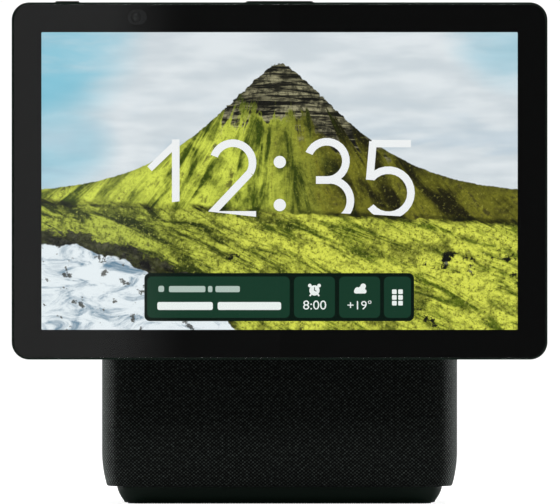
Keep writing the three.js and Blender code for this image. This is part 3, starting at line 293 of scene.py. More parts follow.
def ramp(value, low, high):
    """0 below low, 1 above high and smooth between; low above high turns it round."""
    tree = tree_of([value, low, high])
    node = tree.nodes.new("ShaderNodeMapRange")
    node.interpolation_type = "SMOOTHSTEP"
    flip = not isinstance(low, bpy.types.NodeSocket) and low > high
    feed(tree, node.inputs["Value"], value)
    feed(tree, node.inputs["From Min"], high if flip else low)
    feed(tree, node.inputs["From Max"], low if flip else high)
    node.inputs["To Min"].default_value = 1.0 if flip else 0.0
    node.inputs["To Max"].default_value = 0.0 if flip else 1.0
    return node.outputs["Result"]


def shade(factor, first, second):
    """A colour mixed from two."""
    tree = tree_of([factor, first, second])
    node = tree.nodes.new("ShaderNodeMix")
    node.data_type = "RGBA"
    for k, value in ((0, factor), (6, first), (7, second)):
        feed(tree, node.inputs[k], value)
    return node.outputs[2]


def touched(colour, mask, share, second):
    """A colour with a share of a second one where a mask is."""
    return shade(times(mask, share), colour, second)


def place(x, y, z=0.0):
    """A vector from three values."""
    tree = tree_of([x, y, z])
    node = tree.nodes.new("ShaderNodeCombineXYZ")
    for socket, value in zip(node.inputs, (x, y, z)):
        feed(tree, socket, value)
    return node.outputs[0]


def noise(vector, scale, detail=4.0, roughness=0.5, distortion=0.0):
    """Noise from 0 to 1."""
    node = vector.id_data.nodes.new("ShaderNodeTexNoise")
    node.id_data.links.new(vector, node.inputs["Vector"])
    names = ("Scale", "Detail", "Roughness", "Distortion")
    for name, value in zip(names, (scale, detail, roughness, distortion)):
        node.inputs[name].default_value = value
    return node.outputs["Fac"]


def drawn_out(x, x_scale, y, y_scale, detail, roughness, distortion=0.0):
    """Noise with its own scale in each direction."""
    return noise(place(times(x, x_scale), times(y, y_scale)), 1.0, detail, roughness, distortion)


def cells(vector, scale, feature="F1"):
    """Distances of a cell pattern."""
    tree = vector.id_data
    node = tree.nodes.new("ShaderNodeTexVoronoi")
    node.feature = feature
    tree.links.new(vector, node.inputs["Vector"])
    node.inputs["Scale"].default_value = scale
    return node.outputs["Distance"]


def here(tree, kind="Object"):
    """The coordinates that a pattern is laid on."""
    return tree.nodes.new("ShaderNodeTexCoord").outputs[kind]


def parts(vector):
    """The three values of a vector."""
    split = vector.id_data.nodes.new("ShaderNodeSeparateXYZ")
    split.id_data.links.new(vector, split.inputs[0])
    return split.outputs


def bump(height, strength, distance):
    """A Bump node on a height."""
    node = height.id_data.nodes.new("ShaderNodeBump")
    node.inputs["Strength"].default_value = strength
    node.inputs["Distance"].default_value = distance
    node.id_data.links.new(height, node.inputs["Height"])
    return node.outputs["Normal"]


def new_material(name):
    """Makes a material with an empty Principled surface. Returns its tree and the surface node."""
    material = bpy.data.materials.new(name)
    material.use_nodes = True
    return material.node_tree, material.node_tree.nodes["Principled BSDF"]


def dress(surface, **looks):
    """Sets or links the sockets of a surface."""
    for name, value in looks.items():
        feed(surface.id_data, surface.inputs[SOCKET_NAMES[name]], value)


def new_group(name, inputs, outputs):
    """A shader node group that takes a place and numbers and gives values. Returns its two end nodes."""
    group = bpy.data.node_groups.new(name, "ShaderNodeTree")
    group.interface.new_socket("Place", in_out="INPUT", socket_type="NodeSocketVector")
    for label, default in inputs.items():
        socket = group.interface.new_socket(label, in_out="INPUT", socket_type="NodeSocketFloat")
        socket.default_value = default
    for label in outputs:
        group.interface.new_socket(label, in_out="OUTPUT", socket_type="NodeSocketFloat")
    return group.nodes.new("NodeGroupInput").outputs, group.nodes.new("NodeGroupOutput").inputs


def give(sockets, **values):
    """Links a group's results to its output sockets."""
    for label, value in values.items():
        socket = sockets[label.capitalize()]
        socket.id_data.links.new(value, socket)


def use_group(tree, name, **values):
    """Places a group in a material with its own values and returns its results."""
    node = tree.nodes.new("ShaderNodeGroup")
    node.node_tree = bpy.data.node_groups[name]
    for label, value in values.items():
        feed(tree, node.inputs[label.capitalize()], value)
    return node.outputs


def grain_group():
    """Fine moulded grain with a faint change of tone."""
    given, results = new_group("Moulded grain", {"Size": 0.6 * MM}, ["Height", "Tone", "Smudge"])
    spread = given[0].id_data.nodes.new("ShaderNodeVectorMath")
    spread.operation = "SCALE"
    feed(spread.id_data, spread.inputs[0], given["Place"])
    feed(spread.id_data, spread.inputs["Scale"], calc("DIVIDE", 1.0, given["Size"]))
    fine = noise(spread.outputs[0], 1.0, 3.0, 0.6)
    pits = ramp(cells(spread.outputs[0], 0.7), 0.05, 0.6)
    handled = noise(given["Place"], 14.0, 5.0, 0.6, 0.4)
    give(results, height=times(fine, pits), tone=ramp(fine, 0.3, 0.7), smudge=ramp(handled, 0.35, 0.75))


def weave_group():
    """Plain weave with every second row moved by half a repeat."""
    sizes = {"Repeat": 1.87 * MM, "Row": 0.81 * MM}
    given, results = new_group("Staggered weave", sizes, ["Height", "Gap", "Fleck"])
    spot = given["Place"]
    x, y, _ = parts(spot)
    wobble = times(minus(noise(spot, 900.0, 2.0), 0.5), 0.9)
    across = plus(times(calc("DIVIDE", x, given["Repeat"]), math.tau), wobble)
    along = plus(times(calc("DIVIDE", y, given["Row"]), math.pi), wobble)
    height = graded(times(calc("COSINE", across), calc("COSINE", along)), 0.5, 0.5)
    fibre = noise(spot, 5200.0, 2.0, 0.6)
    fleck = ramp(noise(spot, 620.0, 3.0, 0.65), 0.4, 0.68)
    # Gap is the mask of the hollows between the yarns, where the cloth's material paints shade.
    give(results, height=plus(height, times(fibre, 0.25)), gap=ramp(height, 0.84, 0.42), fleck=fleck)


def brushed_group():
    """Fine lines along one direction, as a tool or a brush leaves them."""
    given, results = new_group("Brushed lines", {"Pitch": 0.2 * MM}, ["Height", "Tone"])
    x, y, z = parts(given["Place"])
    fine = calc("DIVIDE", 1.0, given["Pitch"])
    lines = noise(place(times(x, 40.0), times(y, fine), times(z, fine)), 1.0, 3.0, 0.6)
    give(results, height=lines, tone=ramp(noise(given["Place"], 60.0, 4.0), 0.3, 0.7))


# ---------------------------------------------------------------- materials
def scaled(colour, factor):
    """A colour made darker or lighter."""
    return (colour[0] * factor, colour[1] * factor, colour[2] * factor, 1.0)


def mottled(mask, colour, contrast):
    """A colour that is darker and lighter by a mask."""
    return shade(mask, scaled(colour, 1 - contrast), scaled(colour, 1 + contrast))


def moulded(name, colour, roughness, size=0.5 * MM, depth=0.012 * MM, contrast=0.22):
    """Moulded plastic or rubber with a fine grain, faint mottling and handling marks."""
    tree, surface = new_material(name)
    height, tone, smudge = use_group(tree, "Moulded grain", place=here(tree), size=size)
    dress(
        surface,
        colour=touched(mottled(tone, colour, contrast), smudge, 0.12, scaled(colour, 1.9)),
        rough=graded(tone, 0.06, graded(smudge, 0.1, roughness - 0.04)),
        normal=bump(height, 1.0, depth),
        specular=0.35,
    )


def metal(name, colour, roughness, pitch=0.2 * MM):
    """Machined or drawn metal."""
    tree, surface = new_material(name)
    height, tone = use_group(tree, "Brushed lines", place=here(tree), pitch=pitch)
    dress(
        surface,
        colour=shade(tone, scaled(colour, 0.8), scaled(colour, 1.1)),
        metallic=1.0,
        rough=graded(height, 0.22, roughness - 0.08),
        normal=bump(height, 0.6, 0.01 * MM),
    )


def woven_material(cloth, repeat):
    """Dark woven cloth on the sleeve's own flat coordinates, with painted shade between the yarns."""
    tree, surface = new_material("Woven cloth")
    values = {"place": here(tree, "UV"), "repeat": repeat, "row": cloth.row}
    height, gap, fleck = use_group(tree, "Staggered weave", **values)
    thread = shade(fleck, scaled(cloth.yarn, 0.35), scaled(cloth.yarn, 1.45))
    dress(
        surface,
        # Painted shade: the hollows between the yarns take the near-black shadow colour.
        colour=shade(gap, thread, (*cloth.shadow, 1.0)),
        rough=graded(gap, 0.1, 0.82),
        sheen=0.35,
        sheen_rough=0.4,
        sheen_tint=(0.75, 0.85, 0.8, 1.0),
        specular=0.25,
        normal=bump(height, 1.0, 0.22 * MM),
    )


def cover_glass_material():
    """Clear glass with faint wiping marks."""
    tree, surface = new_material("Clear glass")
    marks = ramp(noise(here(tree), 45.0, 5.0, 0.6, 1.2), 0.45, 0.8)
    dress(surface, rough=graded(marks, 0.006, 0.002), colour=(0.97, 1.0, 0.985, 1.0), clear=1.0, ior=1.5)


def ink_material():
    """Black print behind the glass, with the faint mottle of screen printing."""
    tree, surface = new_material("Black ink")
    spread = noise(here(tree), 900.0, 3.0)
    tone = shade(spread, paint(4, 5, 5), paint(9, 10, 10))
    dress(surface, colour=tone, rough=graded(spread, 0.2, 0.6), specular=0.0)


def lens_material():
    """Coated lens glass: dark, with a painted violet and green sheen towards the rim that stands in for the
    reflection of its coating.
    """
    tree, surface = new_material("Coated lens")
    facing = tree.nodes.new("ShaderNodeLayerWeight").outputs["Facing"]
    specks = noise(here(tree), 3000.0, 2.0)
    # Painted reflection: the colour turns from violet to green where the surface turns away from the view.
    tone = shade(facing, paint(12, 10, 26), paint(40, 70, 60))
    dress(surface, colour=tone, rough=graded(specks, 0.04, 0.03), coat=1.0)


def board_material():
    """Circuit board: green mask over copper tracks and pads."""
    tree, surface = new_material("Circuit board")
    spot = here(tree)
    tracks = ramp(cells(spot, 260.0, "DISTANCE_TO_EDGE"), 0.05, 0.02)
    pads = ramp(cells(spot, 420.0), 0.16, 0.12)
    mask = shade(tracks, paint(14, 62, 38), paint(34, 96, 56))
    dress(
        surface,
        colour=shade(pads, mask, paint(196, 170, 110)),
        metallic=times(pads, 0.9),
        rough=graded(noise(spot, 200.0), 0.2, 0.35),
        normal=bump(tracks, 0.8, 0.03 * MM),
    )


def paper_material():
    """Pressed paper of the loudspeaker cones, with its fibres."""
    tree, surface = new_material("Cone paper")
    fibres = noise(here(tree), 1300.0, 5.0, 0.7, 0.8)
    tone = shade(fibres, paint(20, 20, 21), paint(46, 46, 46))
    dress(surface, colour=tone, rough=graded(fibres, 0.15, 0.75), normal=bump(fibres, 1.0, 0.08 * MM))


def lit(name, colour, strength, mottle=0.03):
    """A lit area of the screen, with the faint unevenness of its backlight."""
    tree, surface = new_material(name)
    uneven = noise(here(tree), 60.0, 2.0)
    glow = mottled(uneven, colour, mottle)
    dress(surface, light=glow, strength=strength, colour=UNLIT, rough=graded(uneven, 0.1, 0.5), specular=0.0)


def spot(u, v, across, up, reach_across, reach_up):
    """A soft oval spot on the picture."""
    dx = calc("DIVIDE", minus(u, across), reach_across)
    dy = calc("DIVIDE", minus(v, up), reach_up)
    return ramp(plus(times(dx, dx), times(dy, dy)), 1.0, 0.25)


def sky_of(u, v, wide):
    """Pale banks of cloud with blue in the corners."""
    drift = place(times(wide, 0.8), times(v, 3.0))
    cloud = noise(drift, 2.4, 7.0, 0.55, 0.5)
    haze = shade(ramp(noise(drift, 5.0, 5.0), 0.34, 0.66), paint(206, 213, 220), paint(226, 230, 235))
    banks = times(ramp(v, 0.85, 0.5), ramp(cloud, 0.46, 0.62))
    left, right = spot(u, v, -0.06, 1.0, 0.3, 0.42), spot(u, v, 1.03, 0.98, 0.2, 0.22)
    opening = calc("MAXIMUM", left, times(right, 0.6))
    opening = calc("MAXIMUM", opening, times(spot(u, v, -0.02, 0.62, 0.2, 0.2), 0.7))
    blue = times(times(opening, 0.8), ramp(cloud, 0.86, 0.4))
    return shade(blue, touched(haze, banks, 0.55, paint(150, 178, 200)), paint(92, 184, 210))


def mountain_of(u, v, wide, flat, grass, tufts, patch):
    """A peak on a plain curve: green slopes with gullies under a bare top. Returns its depth and colour."""
    aside = calc("ABSOLUTE", minus(u, 0.5))
    top = graded(calc("EXPONENT", times(calc("POWER", aside, 1.4), -9.0)), 0.44, 0.46)
    crag = times(minus(noise(flat, 52.0, 4.0, 0.6), 0.5), 0.035)
    depth = minus(waver(plus(top, times(crag, ramp(v, 0.62, 0.75))), tufts, 0.012), v)
    fan = calc("DIVIDE", minus(u, 0.5), minus(1.06, v))
    gully = drawn_out(fan, 13.0, v, 3.4, 7.0, 0.62, 0.7)
    blend = graded(gully, 0.65, times(patch, 0.35))
    sunny = shade(ramp(blend, 0.41, 0.56), paint(58, 74, 14), paint(212, 222, 84))
    dusky = shade(ramp(blend, 0.42, 0.6), paint(30, 28, 12), paint(122, 120, 36))
    slope = shade(ramp(plus(graded(gully, 0.4, u), times(v, 0.12)), 0.66, 0.9), sunny, dusky)
    scree = times(ramp(gully, 0.53, 0.64), ramp(tufts, 0.42, 0.58))
    slope = touched(slope, scree, 0.8, paint(50, 44, 28))
    slope = touched(slope, ramp(grass, 0.5, 0.34), 0.4, paint(24, 28, 4))
    slope = touched(slope, ramp(grass, 0.56, 0.7), 0.25, paint(232, 230, 110))
    strata = drawn_out(wide, 7.0, graded(times(fan, fan), 0.05, v), 62.0, 5.0, 0.65, 0.8)
    cracks = drawn_out(wide, 46.0, v, 30.0, 5.0, 0.7)
    rock = shade(ramp(strata, 0.45, 0.62), paint(24, 23, 19), paint(158, 152, 120))
    rock = touched(rock, ramp(cracks, 0.56, 0.4), 0.75, paint(20, 21, 17))
    bare = plus(waver(v, blend, 0.75), times(ramp(fan, 0.14, 0.26), 0.09))
    slope = shade(ramp(bare, 0.7, 0.745), slope, rock)
    return depth, touched(slope, ramp(depth, 0.035, 0.0), 0.35, paint(30, 32, 22))


def field_of(u, v, wide, grass, tufts, patch):
    """Rough meadows with slanting furrows. Returns their furrows and colour."""
    turned_x = plus(times(wide, 0.91), times(v, -0.42))
    turned_y = plus(times(wide, 0.42), times(v, 0.91))
    furrows = drawn_out(turned_x, 4.0, turned_y, 20.0, 7.0, 0.68, 0.8)
    dark = shade(ramp(furrows, 0.4, 0.58), paint(48, 58, 18), paint(178, 188, 72))
    light = shade(ramp(furrows, 0.37, 0.55), paint(88, 104, 22), paint(218, 222, 84))
    field = shade(ramp(waver(u, furrows, 0.8), 0.2, 0.6), dark, light)
    field = touched(field, ramp(patch, 0.48, 0.36), 0.65, paint(34, 46, 8))
    field = touched(field, ramp(tufts, 0.54, 0.36), 0.6, paint(30, 40, 8))
    field = touched(field, ramp(grass, 0.5, 0.34), 0.8, paint(16, 24, 2))
    return furrows, touched(field, ramp(grass, 0.54, 0.7), 0.5, paint(236, 236, 120))


def screen_material(screen):
    """A lit picture of a green mountain over fields and a stream, drawn from noise and plain curves."""
    tree, surface = new_material("Lit picture")
    x, _, z = parts(here(tree))
    width = LIT_HIGH.x - LIT_LOW.x
    height = LIT_HIGH.z - LIT_LOW.z
    u = graded(x, 1 / width, -LIT_LOW.x / width)
    v = graded(z, 1 / height, -LIT_LOW.z / height)
    wide = times(u, width / height)
    flat = place(wide, v)
    grass = noise(flat, 95.0, 4.0, 0.75)
    tufts = noise(flat, 34.0, 6.0, 0.7)
    patch = noise(flat, 9.0, 6.0, 0.6, 0.6)

    far = graded(noise(place(times(wide, 3.0), 0.4), 1.0, 5.0), 0.09, 0.42)
    snow = shade(ramp(noise(flat, 26.0, 5.0), 0.45, 0.6), paint(92, 116, 142), paint(214, 224, 232))
    picture = shade(ramp(minus(far, v), 0.0, 0.006), sky_of(u, v, wide), snow)
    depth, slope = mountain_of(u, v, wide, flat, grass, tufts, patch)
    picture = shade(ramp(depth, 0.0, 0.004), picture, slope)
    furrows, field = field_of(u, v, wide, grass, tufts, patch)
    ridge = waver(graded(u, -0.07, 0.43), noise(flat, 18.0, 4.0), 0.03)
    picture = shade(ramp(minus(ridge, v), 0.0, 0.005), picture, field)
    brow = times(ramp(calc("ABSOLUTE", minus(v, ridge)), 0.018, 0.003), ramp(furrows, 0.7, 0.35))
    picture = shade(brow, picture, paint(18, 22, 8))

    # Rocks in the fields
    lumps = ramp(cells(place(wide, times(v, 1.5)), 30.0), 0.1, 0.42)
    stone = shade(lumps, paint(120, 122, 100), paint(16, 19, 14))
    stone = touched(stone, ramp(grass, 0.5, 0.3), 0.7, paint(14, 18, 8))
    loose = times(ramp(noise(flat, 6.5, 5.0, 0.7), 0.6, 0.64), ramp(v, 0.33, 0.25))
    picture = shade(loose, picture, stone)

    # Stream with its banks
    below = minus(waver(graded(times(u, u), -1.7, 0.29), noise(flat, 12.0, 5.0), 0.09), v)
    foam = drawn_out(wide, 8.0, v, 17.0, 7.0, 0.68, 0.9)
    water = shade(ramp(foam, 0.32, 0.54), paint(96, 128, 152), paint(232, 238, 243))
    wet_rock = shade(ramp(tufts, 0.46, 0.7), paint(7, 8, 7), paint(74, 72, 62))
    wet_rock = touched(wet_rock, ramp(grass, 0.6, 0.72), 0.4, paint(92, 96, 58))
    water = touched(water, ramp(noise(flat, 17.0, 5.0, 0.65), 0.58, 0.62), 0.9, wet_rock)
    bank = ramp(plus(below, waver(0.05, tufts, 0.12)), 0.0, 0.01)
    picture = touched(picture, times(bank, ramp(u, 0.43, 0.39)), 0.92, wet_rock)
    picture = shade(ramp(below, 0.0, 0.006), picture, water)

    # Dark edge of the panel
    inside = ramp(calc("ABSOLUTE", minus(u, 0.5)), 0.5004, 0.4998)
    inside = times(inside, ramp(calc("ABSOLUTE", minus(v, 0.5)), 0.5006, 0.4997))
    normal = tree.nodes.new("ShaderNodeNewGeometry").outputs["Normal"]
    forward = ramp(parts(normal)[1], -0.5, -0.9)
    picture = shade(times(inside, forward), paint(0, 0, 0), picture)
    rough = graded(tufts, 0.1, 0.4)
    dress(surface, light=picture, strength=screen.brightness, colour=UNLIT, rough=rough, specular=0.0)


# ---------------------------------------------------------------- mesh helpers
def unit(angle):
    """Flat direction at an angle."""
    return Vector((math.cos(angle), math.sin(angle)))


def walk(start, heading, runs, distance):
    """Walks along straight runs and left-hand bends, given as (length, radius).

    Returns the place and the right-hand normal there.
    """
    at = Vector(start)
    for run, radius in runs:
        step = min(distance, run)
        if radius:
            centre = at + radius * unit(heading + math.pi / 2)
            heading += step / radius
            at = centre + radius * unit(heading - math.pi / 2)
        else:
            at = at + step * unit(heading)
        distance -= step
        if distance <= 0:
            break
    return at, unit(heading - math.pi / 2)


def moved(bm, verts, x, y, z):
    """Moves vertices."""
    bmesh.ops.translate(bm, verts=verts, vec=(x, y, z))


def only(kind, made):
    """The vertices, edges or faces among what an operator made."""
    return [item for item in made["geom"] if isinstance(item, kind)]


def rounded(bm, geom, width, segments, affect):
    """Bevels edges or corners."""
    bmesh.ops.bevel(
        bm,
        geom=geom,
        offset=width,
        offset_type="OFFSET",
        segments=segments,
        profile=0.5,
        affect=affect,
        material=-1,
        clamp_overlap=affect == "EDGES",
    )


def rounded_plate(bm, low, high, near, far, segments=16):
    """A flat face between two corners in X and Y, with rounded corners at its near and far side."""
    verts = bmesh.ops.create_grid(bm, x_segments=1, y_segments=1, size=0.5)["verts"]
    bmesh.ops.scale(bm, verts=verts, vec=(high[0] - low[0], high[1] - low[1], 1))
    middle = (low[1] + high[1]) / 2
    moved(bm, verts, (low[0] + high[0]) / 2, middle, 0)
    corners = ([v for v in verts if v.co.y < middle], [v for v in verts if v.co.y > middle])
    for radius, ends in zip((near, far), corners):
        if radius > 0:
            rounded(bm, ends, radius, segments, "VERTICES")
    bm.faces.ensure_lookup_table()
    return bm.faces[0]


def stand_up(bm, verts, y):
    """Turns a plate in X and Y to stand in X and Z, facing the front, at a depth."""
    bmesh.ops.rotate(bm, verts=verts, cent=ORIGIN, matrix=UPRIGHT)
    moved(bm, verts, 0, y, 0)


def push(bm, face, inward, outward):
    """Insets a face and moves it along its normal, leaving a band behind it."""
    bmesh.ops.inset_region(
        bm, faces=[face], thickness=inward, depth=outward, use_even_offset=True, use_boundary=True
    )
    return face


def extruded(bm, face, vector):
    """Extrudes a face and returns the new one."""
    fresh = only(FACE, bmesh.ops.extrude_face_region(bm, geom=[face]))[0]
    moved(bm, fresh.verts, *vector)
    return fresh


def soften(bm, edges, width, segments=3):
    """Rounds edges."""
    rounded(bm, edges, width, segments, "EDGES")


def sharp_edges(edges, least=math.radians(35)):
    """Edges between faces that meet at more than an angle."""
    return [e for e in edges if e.is_manifold and e.calc_face_angle(0) > least]


def middle_of(face):
    """Middle of a face."""
    return face.calc_center_median()


def cut_opening(bm, corners, faces, drop=1):
    """Cuts a convex opening through faces.

    The corners go round it, and drop is the axis that the cut runs along.
    """
    middle = sum(corners, Vector(ORIGIN)) / len(corners)
    along = Vector([1.0 if k == drop else 0.0 for k in range(3)])
    planes = []
    for k, corner in enumerate(corners):
        side = corners[(k + 1) % len(corners)] - corner
        normal = side.cross(along).normalized()
        planes.append((corner, -normal if normal.dot(corner - middle) < 0 else normal))
    region = list(faces)
    for corner, normal in planes:
        region = [f for f in region if f.is_valid]
        edges = {e for f in region for e in f.edges}
        verts = {v for f in region for v in f.verts}
        known = set(bm.faces)
        made = bmesh.ops.bisect_plane(
            bm, geom=[*region, *edges, *verts], plane_co=corner, plane_no=normal, dist=1e-6
        )
        fresh = [*only(FACE, made), *(set(bm.faces) - known)]
        region = list({f for f in [*region, *fresh] if f.is_valid})
    inside = [f for f in region if all((middle_of(f) - at).dot(way) < 0 for at, way in planes)]
    bmesh.ops.delete(bm, geom=inside, context="FACES")


def socket_ring(radius, count):
    """Points round the socket, on the back of the sleeve."""
    turns = [unit(k / count * math.tau) * radius for k in range(count)]
    return [Vector((turn.x, SLEEVE_HIGH.y, SOCKET_Z + turn.y)) for turn in turns]


def new_object(name, bm, finish):
    """Makes an object of a bmesh, with a material by name."""
    mesh = bpy.data.meshes.new(name)
    bm.to_mesh(mesh)
    bm.free()
    mesh.materials.append(bpy.data.materials[finish])
    made = bpy.data.objects.new(name, mesh)
    bpy.context.scene.collection.objects.link(made)
    return made


def finish_piece(name, bm, body, slot, finish, nodes=(), smooth=30, repair=True, level=True):
    """Makes an object of a bmesh and ties it to its body and CAD nodes. The slot is not used."""
    bmesh.ops.remove_doubles(bm, verts=bm.verts, dist=1e-7)
    if repair:
        bmesh.ops.recalc_face_normals(bm, faces=bm.faces)
    piece = new_object(name, bm, finish)
    piece.data.shade_smooth()
    piece.data.set_sharp_from_angle(angle=math.radians(smooth))
    if level:
        even = piece.modifiers.new("Level faces", "WEIGHTED_NORMAL")
        even.keep_sharp = True
        even.weight = 100
    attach(piece, body)
    if nodes:
        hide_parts(*nodes)
    return piece


def rounded_copy(node, body, slot, finish, width):
    """A copy of a CAD node with its sharp edges rounded."""
    bm = bmesh.new()
    bm.from_mesh(frame["nodes"][node].data)
    bmesh.ops.remove_doubles(bm, verts=bm.verts, dist=2e-6)
    bmesh.ops.dissolve_limit(bm, angle_limit=math.radians(1), verts=bm.verts, edges=bm.edges)
    soften(bm, sharp_edges(bm.edges), width, 2)
    finish_piece(f"{node}_rounded", bm, body, slot, finish, [node], smooth=35, repair=False)


# ---------------------------------------------------------------- operators
class BuildMaterials(bpy.types.Operator):
    """Makes the node groups and materials and puts them on the CAD nodes that stay"""

    bl_idname = "display.materials"
    bl_label = "Materials"

    def execute(self, context):
        cloth = context.scene.display_fabric
        plastic = context.scene.display_plastic
        screen = context.scene.display_screen
        shine = screen.brightness
        grain_group()
        weave_group()
        brushed_group()
        across = sleeve_perimeter(cloth)
        woven_material(cloth, across / round(across / cloth.repeat))
        moulded("Green black plastic", plastic.green, plastic.roughness)
        moulded("Black plastic", plastic.black, 0.55)
        moulded("Grey plastic", paint(46, 48, 50), 0.45)
        moulded("Rubber", paint(14, 14, 14), 0.85, size=0.9 * MM, depth=0.03 * MM)
        moulded("Ferrite", paint(40, 40, 44), 0.6, size=0.35 * MM, depth=0.03 * MM, contrast=0.4)
        moulded("Cast metal", paint(22, 24, 24), 0.5, size=0.8 * MM, depth=0.03 * MM)
        metal("Steel", paint(150, 152, 154), 0.32)
        metal("Aluminium", paint(186, 188, 190), 0.38, pitch=0.3 * MM)
        cover_glass_material()
        ink_material()
        lens_material()
        board_material()
        paper_material()
        screen_material(screen)
        lit("Clock digits", screen.digits, shine, 0.01)
        lit("Tray", screen.tray, shine)
        lit("Card", screen.card, shine)
        lit("Card writing", paint(236, 240, 238), shine, 0.01)
        lit("Card note", paint(176, 192, 184), shine, 0.01)
        for finish, names in KEPT_NODES.items():
            for name in names:
                for slot in frame["nodes"][name].material_slots:
                    slot.material = bpy.data.materials[finish]
        return {"FINISHED"}


def sleeve_runs(cloth):
    """The base's outline as straight runs and bends, from the middle of the back round the left side."""
    half = SLEEVE_HIGH.x
    near, far = cloth.front_corner, cloth.back_corner
    side = SLEEVE_HIGH.y - SLEEVE_LOW.y - far - near
    bends = {radius: (radius * math.pi / 2, radius) for radius in (near, far)}
    first = [(half - far, 0), bends[far], (side, 0), bends[near]]
    return [*first, (2 * (half - near), 0), *reversed(first)]


def sleeve_perimeter(cloth):
    """Length of the base's outline."""
    return sum(run for run, _ in sleeve_runs(cloth))


class BuildFabric(bpy.types.Operator):
    """Cuts the flat cloth, wraps it round the base, turns its hem under and opens it for hinge and socket"""

    bl_idname = "display.fabric"
    bl_label = "Fabric sleeve"

    def execute(self, context):
        cloth = context.scene.display_fabric
        runs = sleeve_runs(cloth)
        around = sleeve_perimeter(cloth)
        bend = math.asin((cloth.curve_top - SLEEVE_LOW.z - cloth.hem_round) / cloth.curve_radius)
        hem_bend = math.pi / 2 - bend
        straight = SLEEVE_HIGH.z - cloth.curve_top
        hem_inset = cloth.curve_radius * (1 - math.cos(bend)) + cloth.hem_round
        down = [
            (straight, 0),
            (cloth.curve_radius * bend, cloth.curve_radius),
            (cloth.hem_round * hem_bend, cloth.hem_round),
            (cloth.tuck - hem_inset, 0),
        ]
        tall = sum(run for run, _ in down)
        hem = sum(run for run, _ in down[2:])
        rows, hem_rows = 76, 12
        bm = bmesh.new()
        bmesh.ops.create_grid(bm, x_segments=264, y_segments=rows, size=0.5)
        flat_uv = bm.loops.layers.uv.new("cloth")
        for vert in bm.verts:
            row = round((vert.co.y + 0.5) * rows)
            if row < hem_rows:
                height = hem * row / hem_rows
            else:
                height = hem + (tall - hem) * (row - hem_rows) / (rows - hem_rows)
            vert.co = Vector(((vert.co.x + 0.5) * around, height, 0))
        for face in bm.faces:
            for loop in face.loops:
                loop[flat_uv].uv = loop.vert.co.xy
        for vert in bm.verts:
            side, outward = walk((0, SLEEVE_HIGH.y), math.pi, runs, vert.co.x)
            section, _ = walk((0, SLEEVE_HIGH.z), -math.pi / 2, down, tall - vert.co.y)
            at = side - outward * section.x
            vert.co = Vector((at.x, at.y, section.y))
        bmesh.ops.remove_doubles(bm, verts=bm.verts, dist=1e-6)
        narrow = [f for f in bm.faces if abs(middle_of(f).x) < 60 * MM]
        front = [f for f in narrow if middle_of(f).y < SLEEVE_LOW.y + 2 * MM]
        gap = 0.35 * MM
        window = bmesh.new()
        low = (LINER_LOW.x - gap, LINER_LOW.z - gap)
        high = (LINER_HIGH.x + gap, LINER_HIGH.z + gap)
        opening = rounded_plate(window, low, high, 4 * MM, 4 * MM, 4)
        corners = [Vector((v.co.x, SLEEVE_LOW.y, v.co.y)) for v in opening.verts]
        window.free()
        cut_opening(bm, corners, front)
        narrow = [f for f in bm.faces if abs(middle_of(f).x) < 16 * MM]
        back = [f for f in narrow if middle_of(f).y > SLEEVE_HIGH.y - 5 * MM]
        cut_opening(bm, socket_ring(SOCKET_HIGH.x + 0.2 * MM, 24), back)
        bmesh.ops.recalc_face_normals(bm, faces=bm.faces)
        if max(bm.faces, key=lambda f: middle_of(f).x).normal.x < 0:
            bmesh.ops.reverse_faces(bm, faces=bm.faces)
        ties = ("base", "fabric", "Woven cloth", ["fabric_sleeve"])
        sleeve = finish_piece("woven_sleeve", bm, *ties, repair=False, level=False)
        wall = sleeve.modifiers.new("Cloth thickness", "SOLIDIFY")
        wall.thickness = cloth.thickness
        wall.offset = -1
        return {"FINISHED"}


def base_plate(bm, cloth, inset):
    """The base's outline as one face, inset all round."""
    low = (SLEEVE_LOW.x + inset, SLEEVE_LOW.y + inset)
    high = (SLEEVE_HIGH.x - inset, SLEEVE_HIGH.y - inset)
    return rounded_plate(bm, low, high, cloth.front_corner - inset, cloth.back_corner - inset, 20)


def quarter(bm, face, size, steps):
    """Pushes a face through a quarter turn in steps, closing in on its middle."""
    for k in range(steps):
        low, high = k / steps * math.pi / 2, (k + 1) / steps * math.pi / 2
        push(bm, face, size * (math.cos(low) - math.cos(high)), size * (math.sin(high) - math.sin(low)))


